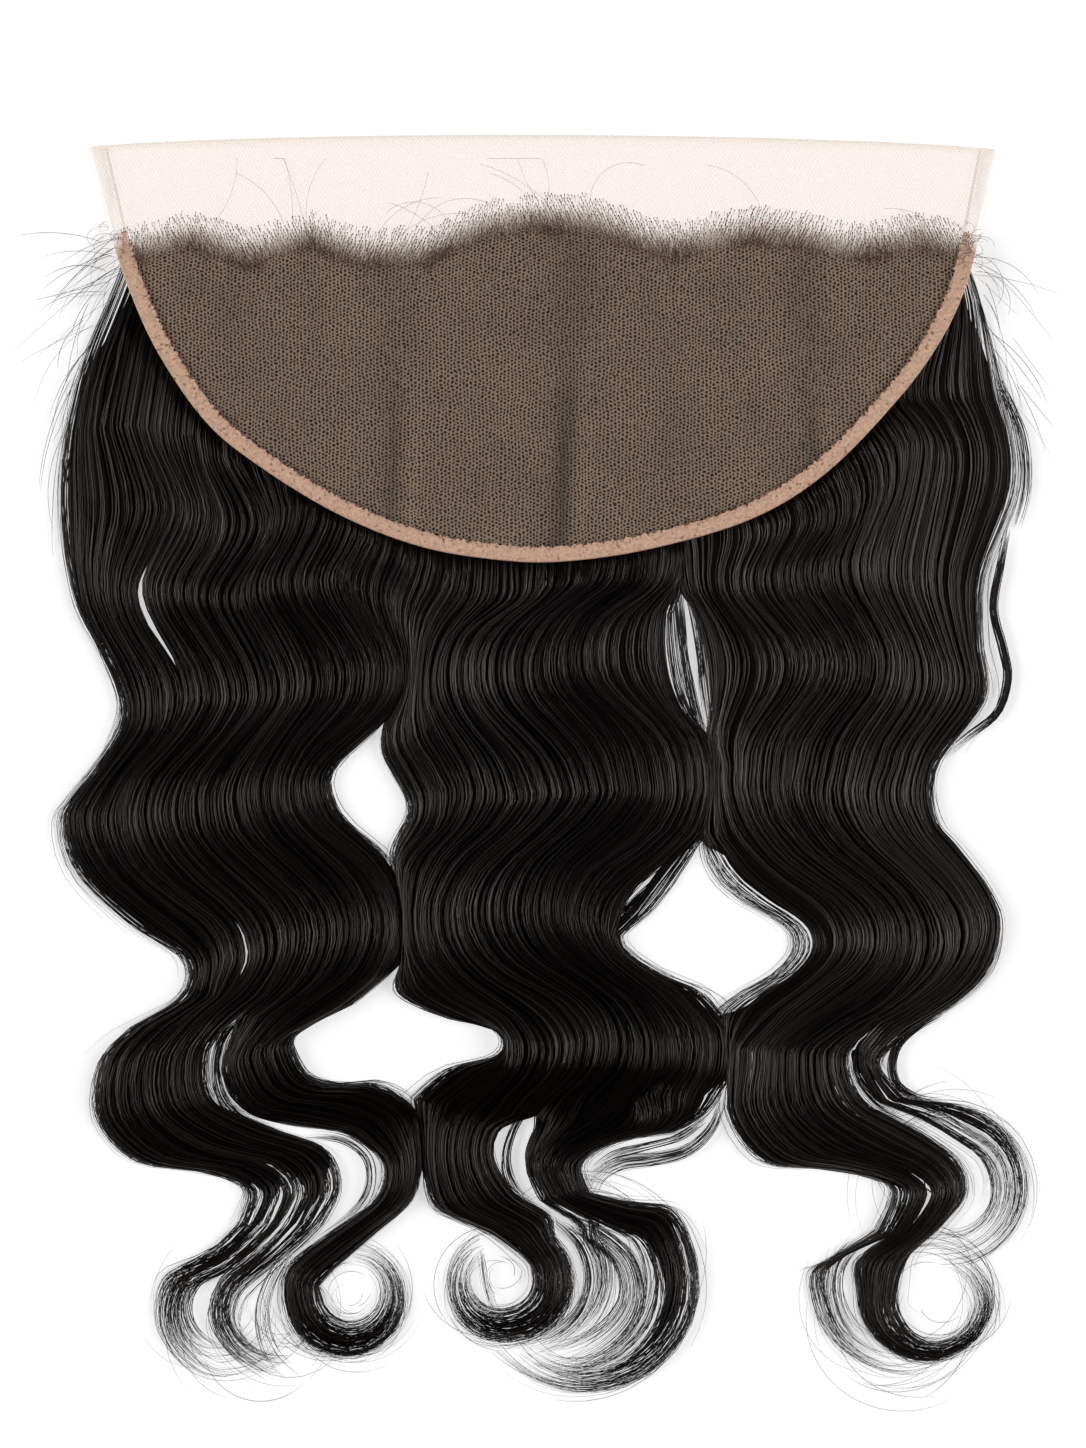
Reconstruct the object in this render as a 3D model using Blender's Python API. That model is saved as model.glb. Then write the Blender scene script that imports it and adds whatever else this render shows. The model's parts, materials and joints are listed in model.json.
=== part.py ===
"""A lace frontal hairpiece with body-wave hair, lying flat with its scalp side up.

Metres, +Z up. The straight front edge of the lace points to +Y, the hair falls to -Y, and
the whole piece lies on z = 0. The tables are in millimetres, measured from a point near the
middle of the piece. CENTRE_X and CENTRE_Y bring the middle of its outline to the origin.
"""

from collections import namedtuple

import bmesh
import bpy
import numpy as np

MM = 0.001
CENTRE_X = 0.0
CENTRE_Y = -1.8

# Walls and clearances of the cloth pieces
LACE_WALL = 1.0
TAPE_WALL = 1.0
EDGE_GAP = 0.3
LAYER_GAP = 0.5

# The lace lies flat along its front, and the hair under it lifts the rest
FLAT_FROM_Y = 224.0
RAMP_LENGTH = 52.0
LACE_LIFT = 8.5

# Outer line of the lace: straight sides, a curved back and a bowed front
Point = namedtuple("Point", "x y")
CORNER_LEFT = Point(-175.0, 236.0)
CORNER_RIGHT = Point(175.0, 235.0)
FRONT_BOW = 5.5
BOW_POWER = 0.7
BACK_LINE = (
    Point(-164.5, 202.0),
    Point(-157.0, 181.0),
    Point(-146.0, 157.0),
    Point(-128.0, 131.0),
    Point(-107.5, 114.0),
    Point(-78.0, 96.0),
    Point(-48.0, 84.0),
    Point(-20.0, 78.8),
    Point(6.0, 77.8),
    Point(40.0, 82.5),
    Point(79.0, 94.0),
    Point(108.0, 112.0),
    Point(136.0, 141.0),
    Point(151.0, 162.0),
    Point(160.0, 181.0),
    Point(166.0, 202.0),
)
BACK_STATIONS = 42
FINE_STEPS = 16
SIDE_STATIONS = 4
LACE_ROWS = 5
FLAT_MARGIN = 1.5
SHARP_ANGLE = 0.8

# Soft folds of the lace: where each lies, how deep and wide it is, and its lean
Fold = namedtuple("Fold", "x depth half_width lean")
FOLDS = (
    Fold(-120.0, 0.5, 12.0, 0.05),
    Fold(-56.0, 0.8, 12.0, 0.03),
    Fold(10.0, 1.3, 11.0, 0.06),
    Fold(46.0, 0.5, 10.0, -0.10),
    Fold(101.0, 0.8, 11.0, -0.05),
)
FOLD_MIDDLE_Y = 150.0

# Folded tape along the back edge and sheer hems along the sides
BAND_WIDTH = 6.0
BAND_UNDER = 4.0
HEM_WIDTH_LOW = 6.5
HEM_WIDTH_HIGH = 9.0
JOINT_GAP = 0.5

# Hair: fine locks of three columns each, thin at the rim and full in the middle
COLUMNS_A_LOCK = 3
GROOVE = 0.74
CREST_VARIATION = (1.0, 0.92, 1.0, 0.88, 0.97, 0.90, 1.0, 0.93)
RIM = 1.0
SEAM_SHARE = 0.82
SEAM_FADE = 30.0
DOME_POWER = 0.42
SETTLE_STATIONS = 3
STATION_STEP = 11.0
CURL_STEP = 22.0
TIP_THICK = 1.4
TIP_POWER = 1.5
UNDER_LACE = 0.8
UNDER_BAND = 2.1
BAND_INFLUENCE = 24.0
BAND_REACH = 9.0

# A row lies across the fall of the hair, and a curl carries a lock's end round a centre. A lock
# holds the columns from first to last, and its children take them over where it parts.
Row = namedtuple("Row", "left_x left_y right_x right_y thick")
Curl = namedtuple("Curl", "x y start sweep left_from left_to right_from right_to thick")
Lock = namedtuple("Lock", "first last rows curl children")
Section = namedtuple("Section", "trunk seam_left seam_right")

LEFT_TRUNK = (
    Row(-156, 203, -50.3, 203, 1.8),
    Row(-163, 184, -50.3, 184, 5.0),
    Row(-176, 150, -50.3, 156, 8.0),
    Row(-184, 108, -50.3, 118, 8.5),
    Row(-179, 66, -50.3, 84, 9.0),
    Row(-166, 40, -50.3, 54, 9.5),
    Row(-159.5, 20, -51, 31, 9.5),
    Row(-168, 2, -67, 11, 9.5),
    Row(-183, -20, -80.5, -5, 9.0),
    Row(-177, -40, -76, -20, 9.0),
    Row(-156, -60, -60, -35, 9.0),
    Row(-136, -73, -53, -55, 9.0),
    Row(-137, -87, -54, -73, 9.0),
    Row(-156, -99, -72, -90, 8.5),
)
LEFT_OUTER = (
    Row(-168, -112, -127, -107, 7.5),
    Row(-170, -133, -125, -127, 7.0),
    Row(-155, -150, -104, -138, 6.5),
    Row(-128, -154.5, -83, -146, 6.0),
    Row(-113, -161, -78, -160, 5.0),
    Row(-115, -173, -85, -174, 4.0),
)
LEFT_TAIL_A = Lock(
    0,
    6,
    (Row(-127, -184, -112, -185, 2.5),),
    Curl(-125, -207, 140, 140, 27, 26, 19, 23.5, 2.0),
    (),
)
LEFT_TAIL_B = Lock(
    6,
    12,
    (Row(-112, -185.5, -96, -184, 2.5),),
    Curl(-101, -207, 142, 135, 27, 23, 16, 20.5, 2.0),
    (),
)
LEFT_INNER = (
    Row(-121, -110, -94, -102, 7.5),
    Row(-118, -126, -90, -117, 7.5),
    Row(-100, -135.5, -68, -120, 7.5),
    Row(-74, -139, -49, -133, 7.5),
    Row(-60.5, -150, -47, -150, 7.0),
    Row(-63, -165, -50.5, -165, 6.5),
    Row(-82, -179, -67, -179.5, 6.0),
)
LEFT_RING = Curl(-73, -200, 157, 290, 26, 16, 13, 13.5, 5.0)
LEFT_LOCK = Lock(
    0,
    24,
    LEFT_TRUNK,
    None,
    (
        Lock(0, 12, LEFT_OUTER, None, (LEFT_TAIL_A, LEFT_TAIL_B)),
        Lock(12, 24, LEFT_INNER, LEFT_RING, ()),
    ),
)

CENTRE_TRUNK = (
    Row(-49.7, 203, 51.2, 203, 1.8),
    Row(-49.7, 184, 51.2, 184, 5.0),
    Row(-49.7, 156, 51.2, 154, 8.0),
    Row(-49.7, 118, 51.2, 116, 8.5),
    Row(-49.7, 84, 50.5, 84, 9.0),
    Row(-49.7, 54, 50.5, 55, 9.5),
    Row(-49.9, 31, 54, 28, 9.5),
    Row(-62, 9, 62, 6, 9.5),
    Row(-51, -15, 63, -14, 9.5),
    Row(-57.5, -33, 57, -32, 9.5),
    Row(-51.8, -55, 40, -55, 9.5),
    Row(-52.6, -73, 29, -66, 9.5),
    Row(-56, -86, 43, -78, 9.5),
    Row(-32, -96, 62, -86, 9.0),
    Row(-13.5, -103, 69.8, -104, 9.0),
    Row(-26, -111, 68.5, -122, 8.5),
    Row(-49, -127, 50, -139, 8.0),
)
CENTRE_INNER = (
    Row(-45.6, -138, -16, -138, 7.5),
    Row(-45, -153, -18.5, -150, 7.5),
    Row(-41, -168, -10, -163, 7.0),
    Row(-21, -177, 2, -171, 6.5),
)
CENTRE_RING = Curl(-16, -196, 42, -285, 13, 13.5, 26, 16, 5.5)
CENTRE_SWEEP = (
    Row(-3.5, -140, 28, -142.5, 7.5),
    Row(-6.5, -151, 14.5, -151, 7.5),
    Row(-1, -163.5, 16.5, -162, 7.0),
)
CENTRE_WISP = Lock(
    12,
    15,
    (Row(13.5, -173, 20, -170.5, 3.0),),
    Curl(-1, -194, 38, -110, 22.5, 24.5, 28, 27, 2.0),
    (),
)
CENTRE_BOW = Lock(
    15,
    24,
    (Row(27, -173, 33, -166.5, 5.5),),
    Curl(15, -195, 38, -176, 30, 38, 42.5, 42.5, 5.5),
    (),
)
CENTRE_LOCK = Lock(
    0,
    24,
    CENTRE_TRUNK,
    None,
    (
        Lock(0, 12, CENTRE_INNER, CENTRE_RING, ()),
        Lock(12, 24, CENTRE_SWEEP, None, (CENTRE_WISP, CENTRE_BOW)),
    ),
)

RIGHT_TRUNK = (
    Row(51.8, 203, 157.5, 203, 1.8),
    Row(51.8, 184, 165, 184, 5.0),
    Row(51.8, 154, 174, 151, 8.0),
    Row(51.8, 116, 181, 110, 8.5),
    Row(53, 78, 172, 74, 9.0),
    Row(58, 50, 168, 49, 9.5),
    Row(61.5, 28, 169.5, 26, 9.5),
    Row(66, -2, 150, 0, 9.5),
    Row(61, -27, 150, -20, 9.5),
    Row(74, -47, 163, -36, 9.0),
    Row(95.5, -64, 174, -58, 8.5),
    Row(87, -80, 168, -80, 8.5),
    Row(69.5, -94, 143, -98, 8.5),
)
RIGHT_MAIN = (
    Row(72.6, -111, 116.5, -112, 8.5),
    Row(70, -131, 123, -128, 8.0),
    Row(84, -150, 142, -138, 7.5),
    Row(112, -153.5, 158, -150, 7.0),
    Row(133, -160, 160.5, -163, 6.5),
    Row(129, -176, 149, -177, 6.0),
)
RIGHT_OUTER = (
    Row(120, -111, 127.5, -112, 4.0),
    Row(126.5, -126.5, 137, -126, 4.0),
)
RIGHT_SWEEP = Lock(
    0,
    6,
    (Row(111, -187, 118, -184.5, 3.0),),
    Curl(138, -196, 175, 115, 36, 34, 32, 31.5, 2.0),
    (),
)
RIGHT_RING = Lock(
    6,
    18,
    (Row(120, -187.5, 138, -187, 5.0),),
    Curl(148, -205, 165, 258, 28, 20, 15, 17.5, 4.0),
    (),
)
RIGHT_BOW_INNER = Lock(
    18,
    21,
    (Row(145, -134, 148, -131.5, 3.0),),
    Curl(154, -160, 62, -158, 18.5, 20, 21.5, 22, 2.0),
    (),
)
RIGHT_BOW_OUTER = Lock(
    21,
    24,
    (Row(150, -130.8, 152.5, -128.3, 3.5),),
    Curl(154, -160, 70, -165, 24, 25.5, 31.2, 28.7, 2.5),
    (),
)
RIGHT_LOCK = Lock(
    0,
    24,
    RIGHT_TRUNK,
    None,
    (
        Lock(0, 18, RIGHT_MAIN, None, (RIGHT_SWEEP, RIGHT_RING)),
        Lock(18, 24, RIGHT_OUTER, None, (RIGHT_BOW_INNER, RIGHT_BOW_OUTER)),
    ),
)

SECTIONS = {
    "hair_left": Section(LEFT_LOCK, None, 26.0),
    "hair_centre": Section(CENTRE_LOCK, 26.0, 76.0),
    "hair_right": Section(RIGHT_LOCK, 76.0, None),
}

# Colour, roughness and metallic value of each finish
Finish = namedtuple("Finish", "colour roughness metallic")
LACE_FINISH = Finish((0.93, 0.86, 0.80), 0.75, 0.0)
HEM_FINISH = Finish((0.90, 0.78, 0.68), 0.75, 0.0)
TAPE_FINISH = Finish((0.66, 0.42, 0.30), 0.8, 0.0)
HAIR_FINISH = Finish((0.012, 0.010, 0.009), 0.35, 0.0)


def smooth(value):
    """A rise from 0 to 1 with level ends."""
    value = min(1.0, max(0.0, value))
    return value * value * (3.0 - 2.0 * value)


def mix(start, end, share):
    return start + (end - start) * share


def through(points, share):
    """A point on the Catmull-Rom curve between the middle two of four points."""
    before, start, end, after = points
    slope_in = (end - before) * 0.5
    slope_out = (after - start) * 0.5
    square, cube = share**2, share**3
    return (
        start * (2 * cube - 3 * square + 1)
        + slope_in * (cube - 2 * square + share)
        + end * (3 * square - 2 * cube)
        + slope_out * (cube - square)
    )


def spline(rows, first, counts):
    """Stations from rows[first] on, counts[k] of them in each stretch, without the first one."""
    found = []
    for k, count in enumerate(counts):
        at = first + k
        four = (rows[max(0, at - 1)], rows[at], rows[at + 1], rows[min(len(rows) - 1, at + 2)])
        found += [through(four, (step + 1) / count) for step in range(count)]
    return found


def back_stations():
    """Evenly spaced points along the curved back of the lace, left to right."""
    points = [np.array(point, float) for point in BACK_LINE]
    fine = np.array([points[0]] + spline(points, 0, [FINE_STEPS] * (len(points) - 1)))
    lengths = np.concatenate([[0.0], np.cumsum(np.linalg.norm(np.diff(fine, axis=0), axis=1))])
    wanted = np.linspace(0.0, lengths[-1], BACK_STATIONS + 1)
    return np.stack([np.interp(wanted, lengths, fine[:, axis]) for axis in (0, 1)], axis=1)


BACK = back_stations()


def back_y(x):
    """Where the back line of the lace crosses this x."""
    return float(np.interp(x, BACK[:, 0], BACK[:, 1]))


def front_y(x):
    """The front edge: a low bow over the line between the two corners."""
    share = (x - CORNER_LEFT.x) / (CORNER_RIGHT.x - CORNER_LEFT.x)
    return mix(CORNER_LEFT.y, CORNER_RIGHT.y, share) + FRONT_BOW * (1.0 - (2.0 * share - 1.0) ** 2) ** BOW_POWER


def lace_floor(x, y):
    """Height of the underside of the lace."""
    rise = smooth((FLAT_FROM_Y - y) / RAMP_LENGTH)
    height = LACE_LIFT
    for fold in FOLDS:
        across = x - fold.x - fold.lean * (y - FOLD_MIDDLE_Y)
        height -= fold.depth * np.exp(-((across / fold.half_width) ** 2))
    return height * rise


def inward_normals(path):
    """Unit vectors at right angles to a path, on its left as it is walked."""
    along = np.gradient(path, axis=0)
    along /= np.linalg.norm(along, axis=1)[:, None]
    return np.stack([-along[:, 1], along[:, 0]], axis=1)


def finished(name, mesh_maker, finish):
    """An object with its own material around the closed mesh that mesh_maker fills in."""
    bm = bmesh.new()
    mesh_maker(bm)
    bmesh.ops.translate(bm, verts=bm.verts, vec=(CENTRE_X, CENTRE_Y, 0.0))
    bmesh.ops.scale(bm, verts=bm.verts, vec=(MM, MM, MM))
    bmesh.ops.recalc_face_normals(bm, faces=bm.faces)
    mesh = bpy.data.meshes.new(name)
    bm.to_mesh(mesh)
    bm.free()
    mesh.shade_smooth()
    mesh.set_sharp_from_angle(angle=SHARP_ANGLE)
    material = bpy.data.materials.new(name + "_finish")
    material.use_nodes = True
    shader = material.node_tree.nodes["Principled BSDF"]
    shader.inputs["Base Color"].default_value = (*finish.colour, 1.0)
    shader.inputs["Roughness"].default_value = finish.roughness
    shader.inputs["Metallic"].default_value = finish.metallic
    mesh.materials.append(material)
    obj = bpy.data.objects.new(name, mesh)
    bpy.context.scene.collection.objects.link(obj)
    return obj


def lace_panel(bm):
    """The D-shaped lace: columns from the back edge to the front edge, flat along the front."""
    inset = TAPE_WALL + EDGE_GAP
    back = BACK + inward_normals(BACK) * inset
    back[0] = (BACK_LINE[0].x + inset, BACK_LINE[0].y)
    back[-1] = (BACK_LINE[-1].x - inset, BACK_LINE[-1].y)
    left, right = CORNER_LEFT.x + inset, CORNER_RIGHT.x - inset
    layers = {0.0: [], LACE_WALL: []}
    for low in back:
        share = (low[0] - back[0, 0]) / (back[-1, 0] - back[0, 0])
        front_x = mix(left, right, share)
        front = np.array((front_x, front_y(front_x)))
        flat = mix(low, front, (FLAT_FROM_Y + FLAT_MARGIN - low[1]) / (front[1] - low[1]))
        places = [mix(low, flat, row / LACE_ROWS) for row in range(LACE_ROWS + 1)] + [front]
        for lift, columns in layers.items():
            columns.append([bm.verts.new((x, y, lace_floor(x, y) + lift)) for x, y in places])
    under, over = layers.values()
    for columns in (under, over):
        for here, there in zip(columns, columns[1:]):
            for k in range(len(here) - 1):
                bm.faces.new((here[k], there[k], there[k + 1], here[k + 1]))
    for k in range(LACE_ROWS + 1):
        bm.faces.new((under[0][k], under[0][k + 1], over[0][k + 1], over[0][k]))
        bm.faces.new((under[-1][k], under[-1][k + 1], over[-1][k + 1], over[-1][k]))
    for k in range(len(under) - 1):
        bm.faces.new((under[k][0], under[k + 1][0], over[k + 1][0], over[k][0]))
        bm.faces.new((under[k][-1], under[k + 1][-1], over[k + 1][-1], over[k][-1]))


def folded_tape(bm, path, normals, sections):
    """A tape along a path. Each section lists corners as (inward, above the lace's underside)."""
    rings = []
    for place, normal, corners in zip(path, normals, sections):
        ring = []
        for inward, above in corners:
            x, y = place + normal * inward
            ring.append(bm.verts.new((x, y, lace_floor(x, y) + above)))
        rings.append(ring)
    for here, there in zip(rings, rings[1:]):
        for k in range(len(here)):
            after = (k + 1) % len(here)
            bm.faces.new((here[k], there[k], there[after], here[after]))
    bm.faces.new(rings[0])
    bm.faces.new(rings[-1])


def edge_band(bm):
    """The tape folded over the curved back edge: a U with the lace's edge inside it."""
    top = LACE_WALL + LAYER_GAP
    section = (
        (0.0, -LAYER_GAP - TAPE_WALL),
        (BAND_UNDER, -LAYER_GAP - TAPE_WALL),
        (BAND_UNDER, -LAYER_GAP),
        (TAPE_WALL, -LAYER_GAP),
        (TAPE_WALL, top),
        (BAND_WIDTH, top),
        (BAND_WIDTH, top + TAPE_WALL),
        (0.0, top + TAPE_WALL),
    )
    folded_tape(bm, BACK, inward_normals(BACK), [section] * len(BACK))


def side_hem(station, corner):
    """A sheer hem from one end of the band to a front corner, with its wall outside the lace."""

    def make(bm):
        band_end, high_end = BACK[station], np.array(corner, float)
        along = (high_end - band_end) / np.linalg.norm(high_end - band_end)
        start = band_end + along * JOINT_GAP
        shares = [k / SIDE_STATIONS for k in range(SIDE_STATIONS + 1)]
        path = [mix(start, high_end, share) for share in shares]
        level = np.array((-np.sign(band_end[0]), 0.0))
        normals = [mix(inward_normals(BACK)[station], level, share) for share in shares]
        top = LACE_WALL + LAYER_GAP
        sections = []
        for share in shares:
            width = mix(HEM_WIDTH_LOW, HEM_WIDTH_HIGH, share)
            sections.append(
                (
                    (0.0, 0.0),
                    (TAPE_WALL, 0.0),
                    (TAPE_WALL, top),
                    (width, top),
                    (width, top + TAPE_WALL),
                    (0.0, top + TAPE_WALL),
                )
            )
        folded_tape(bm, path, normals, sections)

    return make


def ceiling(x, y):
    """How high the hair may reach: under the lace and its band, and free beyond them."""
    if not BACK[0, 0] < x < BACK[-1, 0]:
        return np.inf
    inside = y - back_y(x)
    slope = (back_y(x + 1.0) - back_y(x - 1.0)) / 2.0
    inside /= np.hypot(1.0, slope)
    if inside < -BAND_REACH:
        return np.inf
    room = mix(UNDER_BAND, UNDER_LACE, smooth(inside / BAND_INFLUENCE))
    return lace_floor(x, max(y, back_y(x))) - room


def seam_rim(y, thick, seam):
    """Rim height of a section: full where it lies against its neighbour, thin below that."""
    if seam is None:
        return RIM
    return mix(RIM, max(RIM, thick * SEAM_SHARE), smooth((y - seam) / SEAM_FADE))


def curl_rows(curl):
    """Rows round a curl, as arrays like a table's rows, thinning to the tip."""
    count = max(2, round(abs(curl.sweep) / CURL_STEP))
    rows = []
    for k in range(count + 1):
        share = k / count
        angle = np.radians(curl.start + curl.sweep * share)
        way = np.array((np.cos(angle), np.sin(angle)))
        centre = np.array((curl.x, curl.y))
        left = centre + way * mix(curl.left_from, curl.left_to, share)
        right = centre + way * mix(curl.right_from, curl.right_to, share)
        rows.append(np.array((*left, *right, mix(curl.thick, TIP_THICK, share**TIP_POWER))))
    return rows


def groove(column):
    """Lock relief: a groove at each lock's border and a slightly different crest in each."""
    lock, place = divmod(column, COLUMNS_A_LOCK)
    return GROOVE if place == 0 else CREST_VARIATION[lock % len(CREST_VARIATION)]


def across(row, share):
    """A point of a row, from its left end to its right end."""
    return mix(row[0], row[2], share), mix(row[1], row[3], share)


def section_height(section, row, share):
    """Height of the hair before its locks are cut in."""
    seam = mix(
        seam_rim(row[1], row[4], section.seam_left),
        seam_rim(row[3], row[4], section.seam_right),
        smooth(share),
    )
    dome = max(0.0, 4.0 * share * (1.0 - share)) ** DOME_POWER
    return mix(seam, max(seam, row[4]), dome)


def hair_section(section):
    """A function that fills in one section: a trunk of fine locks that part into loose ends."""

    def top_vertex(bm, lock, row, column, parent, settle):
        share = (column - lock.first) / (lock.last - lock.first)
        x, y = across(row, share)
        height = section_height(section, row, share)
        if parent is not None:
            whole = (column - parent.first) / (parent.last - parent.first)
            height = mix(section_height(section, row, whole), height, settle)
        height = min(height * groove(column), ceiling(x, y))
        return bm.verts.new((x, y, max(height, RIM * GROOVE)))

    def grow(bm, lock, parent, before, tops, bottoms):
        rows = before + [np.array(row, float) for row in lock.rows]
        if lock.curl is not None:
            rows += curl_rows(lock.curl)
        first = max(0, len(before) - 1)
        counts = []
        for here, there in zip(rows[first:], rows[first + 1 :]):
            length = (np.linalg.norm(there[:2] - here[:2]) + np.linalg.norm(there[2:4] - here[2:4])) / 2.0
            counts.append(max(1, round(length / STATION_STEP)))
        stations = spline(rows, first, counts)
        if tops is None:
            tops = [top_vertex(bm, lock, rows[0], k, None, 1.0) for k in range(lock.first, lock.last + 1)]
            bottoms = [bm.verts.new((*across(rows[0], share), 0.0)) for share in (0.0, 1.0)]
            bm.faces.new(tops + bottoms[::-1])
        splits = [child.first for child in lock.children[1:]]
        for number, row in enumerate(stations, 1):
            settle = smooth(number / SETTLE_STATIONS)
            columns = range(lock.first, lock.last + 1)
            new_tops = [top_vertex(bm, lock, row, k, parent, settle) for k in columns]
            cuts = splits if number == len(stations) else []
            shares = [(k - lock.first) / (lock.last - lock.first) for k in [lock.first, *cuts, lock.last]]
            new_bottoms = [bm.verts.new((*across(row, share), 0.0)) for share in shares]
            for k in range(len(tops) - 1):
                bm.faces.new((tops[k], tops[k + 1], new_tops[k + 1], new_tops[k]))
            bm.faces.new((tops[0], new_tops[0], new_bottoms[0], bottoms[0]))
            bm.faces.new((tops[-1], new_tops[-1], new_bottoms[-1], bottoms[-1]))
            bm.faces.new([*bottoms, *new_bottoms[::-1]])
            tops, bottoms = new_tops, new_bottoms
        if not lock.children:
            bm.faces.new(tops + bottoms[::-1])
        tail = [rows[-2], stations[-1]] if len(stations) < 2 else stations[-2:]
        for number, child in enumerate(lock.children):
            shares = [(k - lock.first) / (lock.last - lock.first) for k in (child.first, child.last)]
            start = [np.array((*across(row, shares[0]), *across(row, shares[1]), row[4])) for row in tail]
            own = tops[child.first - lock.first : child.last - lock.first + 1]
            grow(bm, child, lock, start, own, bottoms[number : number + 2])

    def make(bm):
        grow(bm, section.trunk, None, [], None, None)

    return make


def main():
    for obj in list(bpy.data.objects):
        bpy.data.objects.remove(obj, do_unlink=True)
    finished("lace_panel", lace_panel, LACE_FINISH)
    finished("edge_band", edge_band, TAPE_FINISH)
    finished("side_hem_left", side_hem(0, CORNER_LEFT), HEM_FINISH)
    finished("side_hem_right", side_hem(-1, CORNER_RIGHT), HEM_FINISH)
    for name, section in SECTIONS.items():
        finished(name, hair_section(section), HAIR_FINISH)


main()
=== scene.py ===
"""Dress a lace frontal hairpiece that lies flat with its scalp side up.

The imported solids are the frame. Each class below makes one sub-assembly in the same place:
the locks of the three hair sections with their strands, the stray hairs and loose wisps round
them, the knotted lace with its hairline and its own fine hairs, the folded tape along the back
edge with its stitches and caught hairs, and the sheer hems at the two sides.
Lengths are in millimetres from the middle of the piece, as in the tables, and become metres
where a mesh is made.
"""

from __future__ import annotations

import json
import logging
import math
from dataclasses import dataclass, field
from enum import Enum
from typing import Callable, Optional

import bpy
import numpy as np
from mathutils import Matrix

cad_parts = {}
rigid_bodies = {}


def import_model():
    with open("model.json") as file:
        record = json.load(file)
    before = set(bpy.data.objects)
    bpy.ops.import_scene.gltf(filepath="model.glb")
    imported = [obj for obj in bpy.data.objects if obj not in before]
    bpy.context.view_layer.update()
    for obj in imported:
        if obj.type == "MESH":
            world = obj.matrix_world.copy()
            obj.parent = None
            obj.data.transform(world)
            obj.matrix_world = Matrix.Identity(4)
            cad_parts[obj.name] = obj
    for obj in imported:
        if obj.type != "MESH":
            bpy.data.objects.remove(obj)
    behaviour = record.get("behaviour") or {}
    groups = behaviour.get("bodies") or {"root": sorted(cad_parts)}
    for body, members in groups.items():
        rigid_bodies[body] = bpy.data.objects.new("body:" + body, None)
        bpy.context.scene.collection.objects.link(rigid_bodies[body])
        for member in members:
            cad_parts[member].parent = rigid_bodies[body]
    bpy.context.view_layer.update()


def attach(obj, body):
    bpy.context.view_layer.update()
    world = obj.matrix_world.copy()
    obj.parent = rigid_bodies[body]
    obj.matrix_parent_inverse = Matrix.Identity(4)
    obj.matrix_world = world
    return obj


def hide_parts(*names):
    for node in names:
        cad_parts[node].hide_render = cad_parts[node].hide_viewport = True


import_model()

log = logging.getLogger("frontal")
Array = np.ndarray

MM = 0.001
CENTRE_Y = -1.8
BODY = "root"
GUIDE_STEP = 7.0
COLUMNS = 24
TUBE_LOW = 0.35
TUBE_TOP = 0.6
STRAND_OFFSET = 1.37


class Slot(Enum):
    """Material slots of the record."""

    LACE = "lace"
    TAPE = "edge_tape"
    HEM = "hem"
    HAIR = "hair"


class Side(Enum):
    """The two ends of the edge tape, as the sign of X."""

    LEFT = -1
    RIGHT = 1


def smooth(value: Array) -> Array:
    """Return a rise from 0 to 1 with level ends."""
    value = np.clip(value, 0.0, 1.0)
    return value * value * (3.0 - 2.0 * value)


def mix(start: Array, end: Array, share: Array) -> Array:
    """Return the value that lies a share of the way from start to end."""
    return start + (end - start) * share


def catmull(rows: Array, places: Array) -> Array:
    """Read a Catmull-Rom curve through rows.

    Args:
        rows: one row of values for each knot.
        places: where to read, counted in knots from 0.

    Returns:
        One row of values for each place.
    """
    cell = np.clip(np.floor(places).astype(int), 0, len(rows) - 2)
    share = (places - cell)[:, None]
    before = rows[np.maximum(cell - 1, 0)]
    start, end = rows[cell], rows[cell + 1]
    after = rows[np.minimum(cell + 2, len(rows) - 1)]
    slope_in, slope_out = (end - before) * 0.5, (after - start) * 0.5
    square, cube = share**2, share**3
    return (
        start * (2 * cube - 3 * square + 1)
        + slope_in * (cube - 2 * square + share)
        + end * (3 * square - 2 * cube)
        + slope_out * (cube - square)
    )


def wander(rng: np.random.Generator, count: int, knots: int, places: Array) -> Array:
    """Make smooth random offsets along many strands.

    Args:
        rng: the source of random numbers.
        count: how many strands.
        knots: how many random turns each has from its start to its end.
        places: where to read, from 0 to 1, one row for each strand.

    Returns:
        Offsets of about -1 to 1 in the shape of places.
    """
    table = np.clip(rng.normal(0.0, 0.5, (count, knots + 2)), -1.0, 1.0)
    cell = np.clip(np.floor(places * knots).astype(int), 0, knots)
    share = smooth(places * knots - cell)
    return mix(np.take_along_axis(table, cell, 1), np.take_along_axis(table, cell + 1, 1), share)


def lock_width(station: Array) -> Array:
    """Return how wide a lock is at stations, as Fall.read gives them."""
    return np.linalg.norm(station[..., 2:4] - station[..., :2], axis=-1)


def whole_share(station: Array, share: Array) -> Array:
    """Return the share across the whole section for a share across a leaf lock."""
    return mix(station[..., 7], station[..., 8], share)


def column(values: Array) -> Array:
    """Return one value for each strand as a column."""
    return values[:, None]


@dataclass(frozen=True)
class Row:
    """A line across the fall of a lock, and how thick the lock is there."""

    left_x: float
    left_y: float
    right_x: float
    right_y: float
    thick: float

    def values(self) -> Array:
        """Return the row as numbers in field order."""
        return np.array((self.left_x, self.left_y, self.right_x, self.right_y, self.thick), float)


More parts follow.
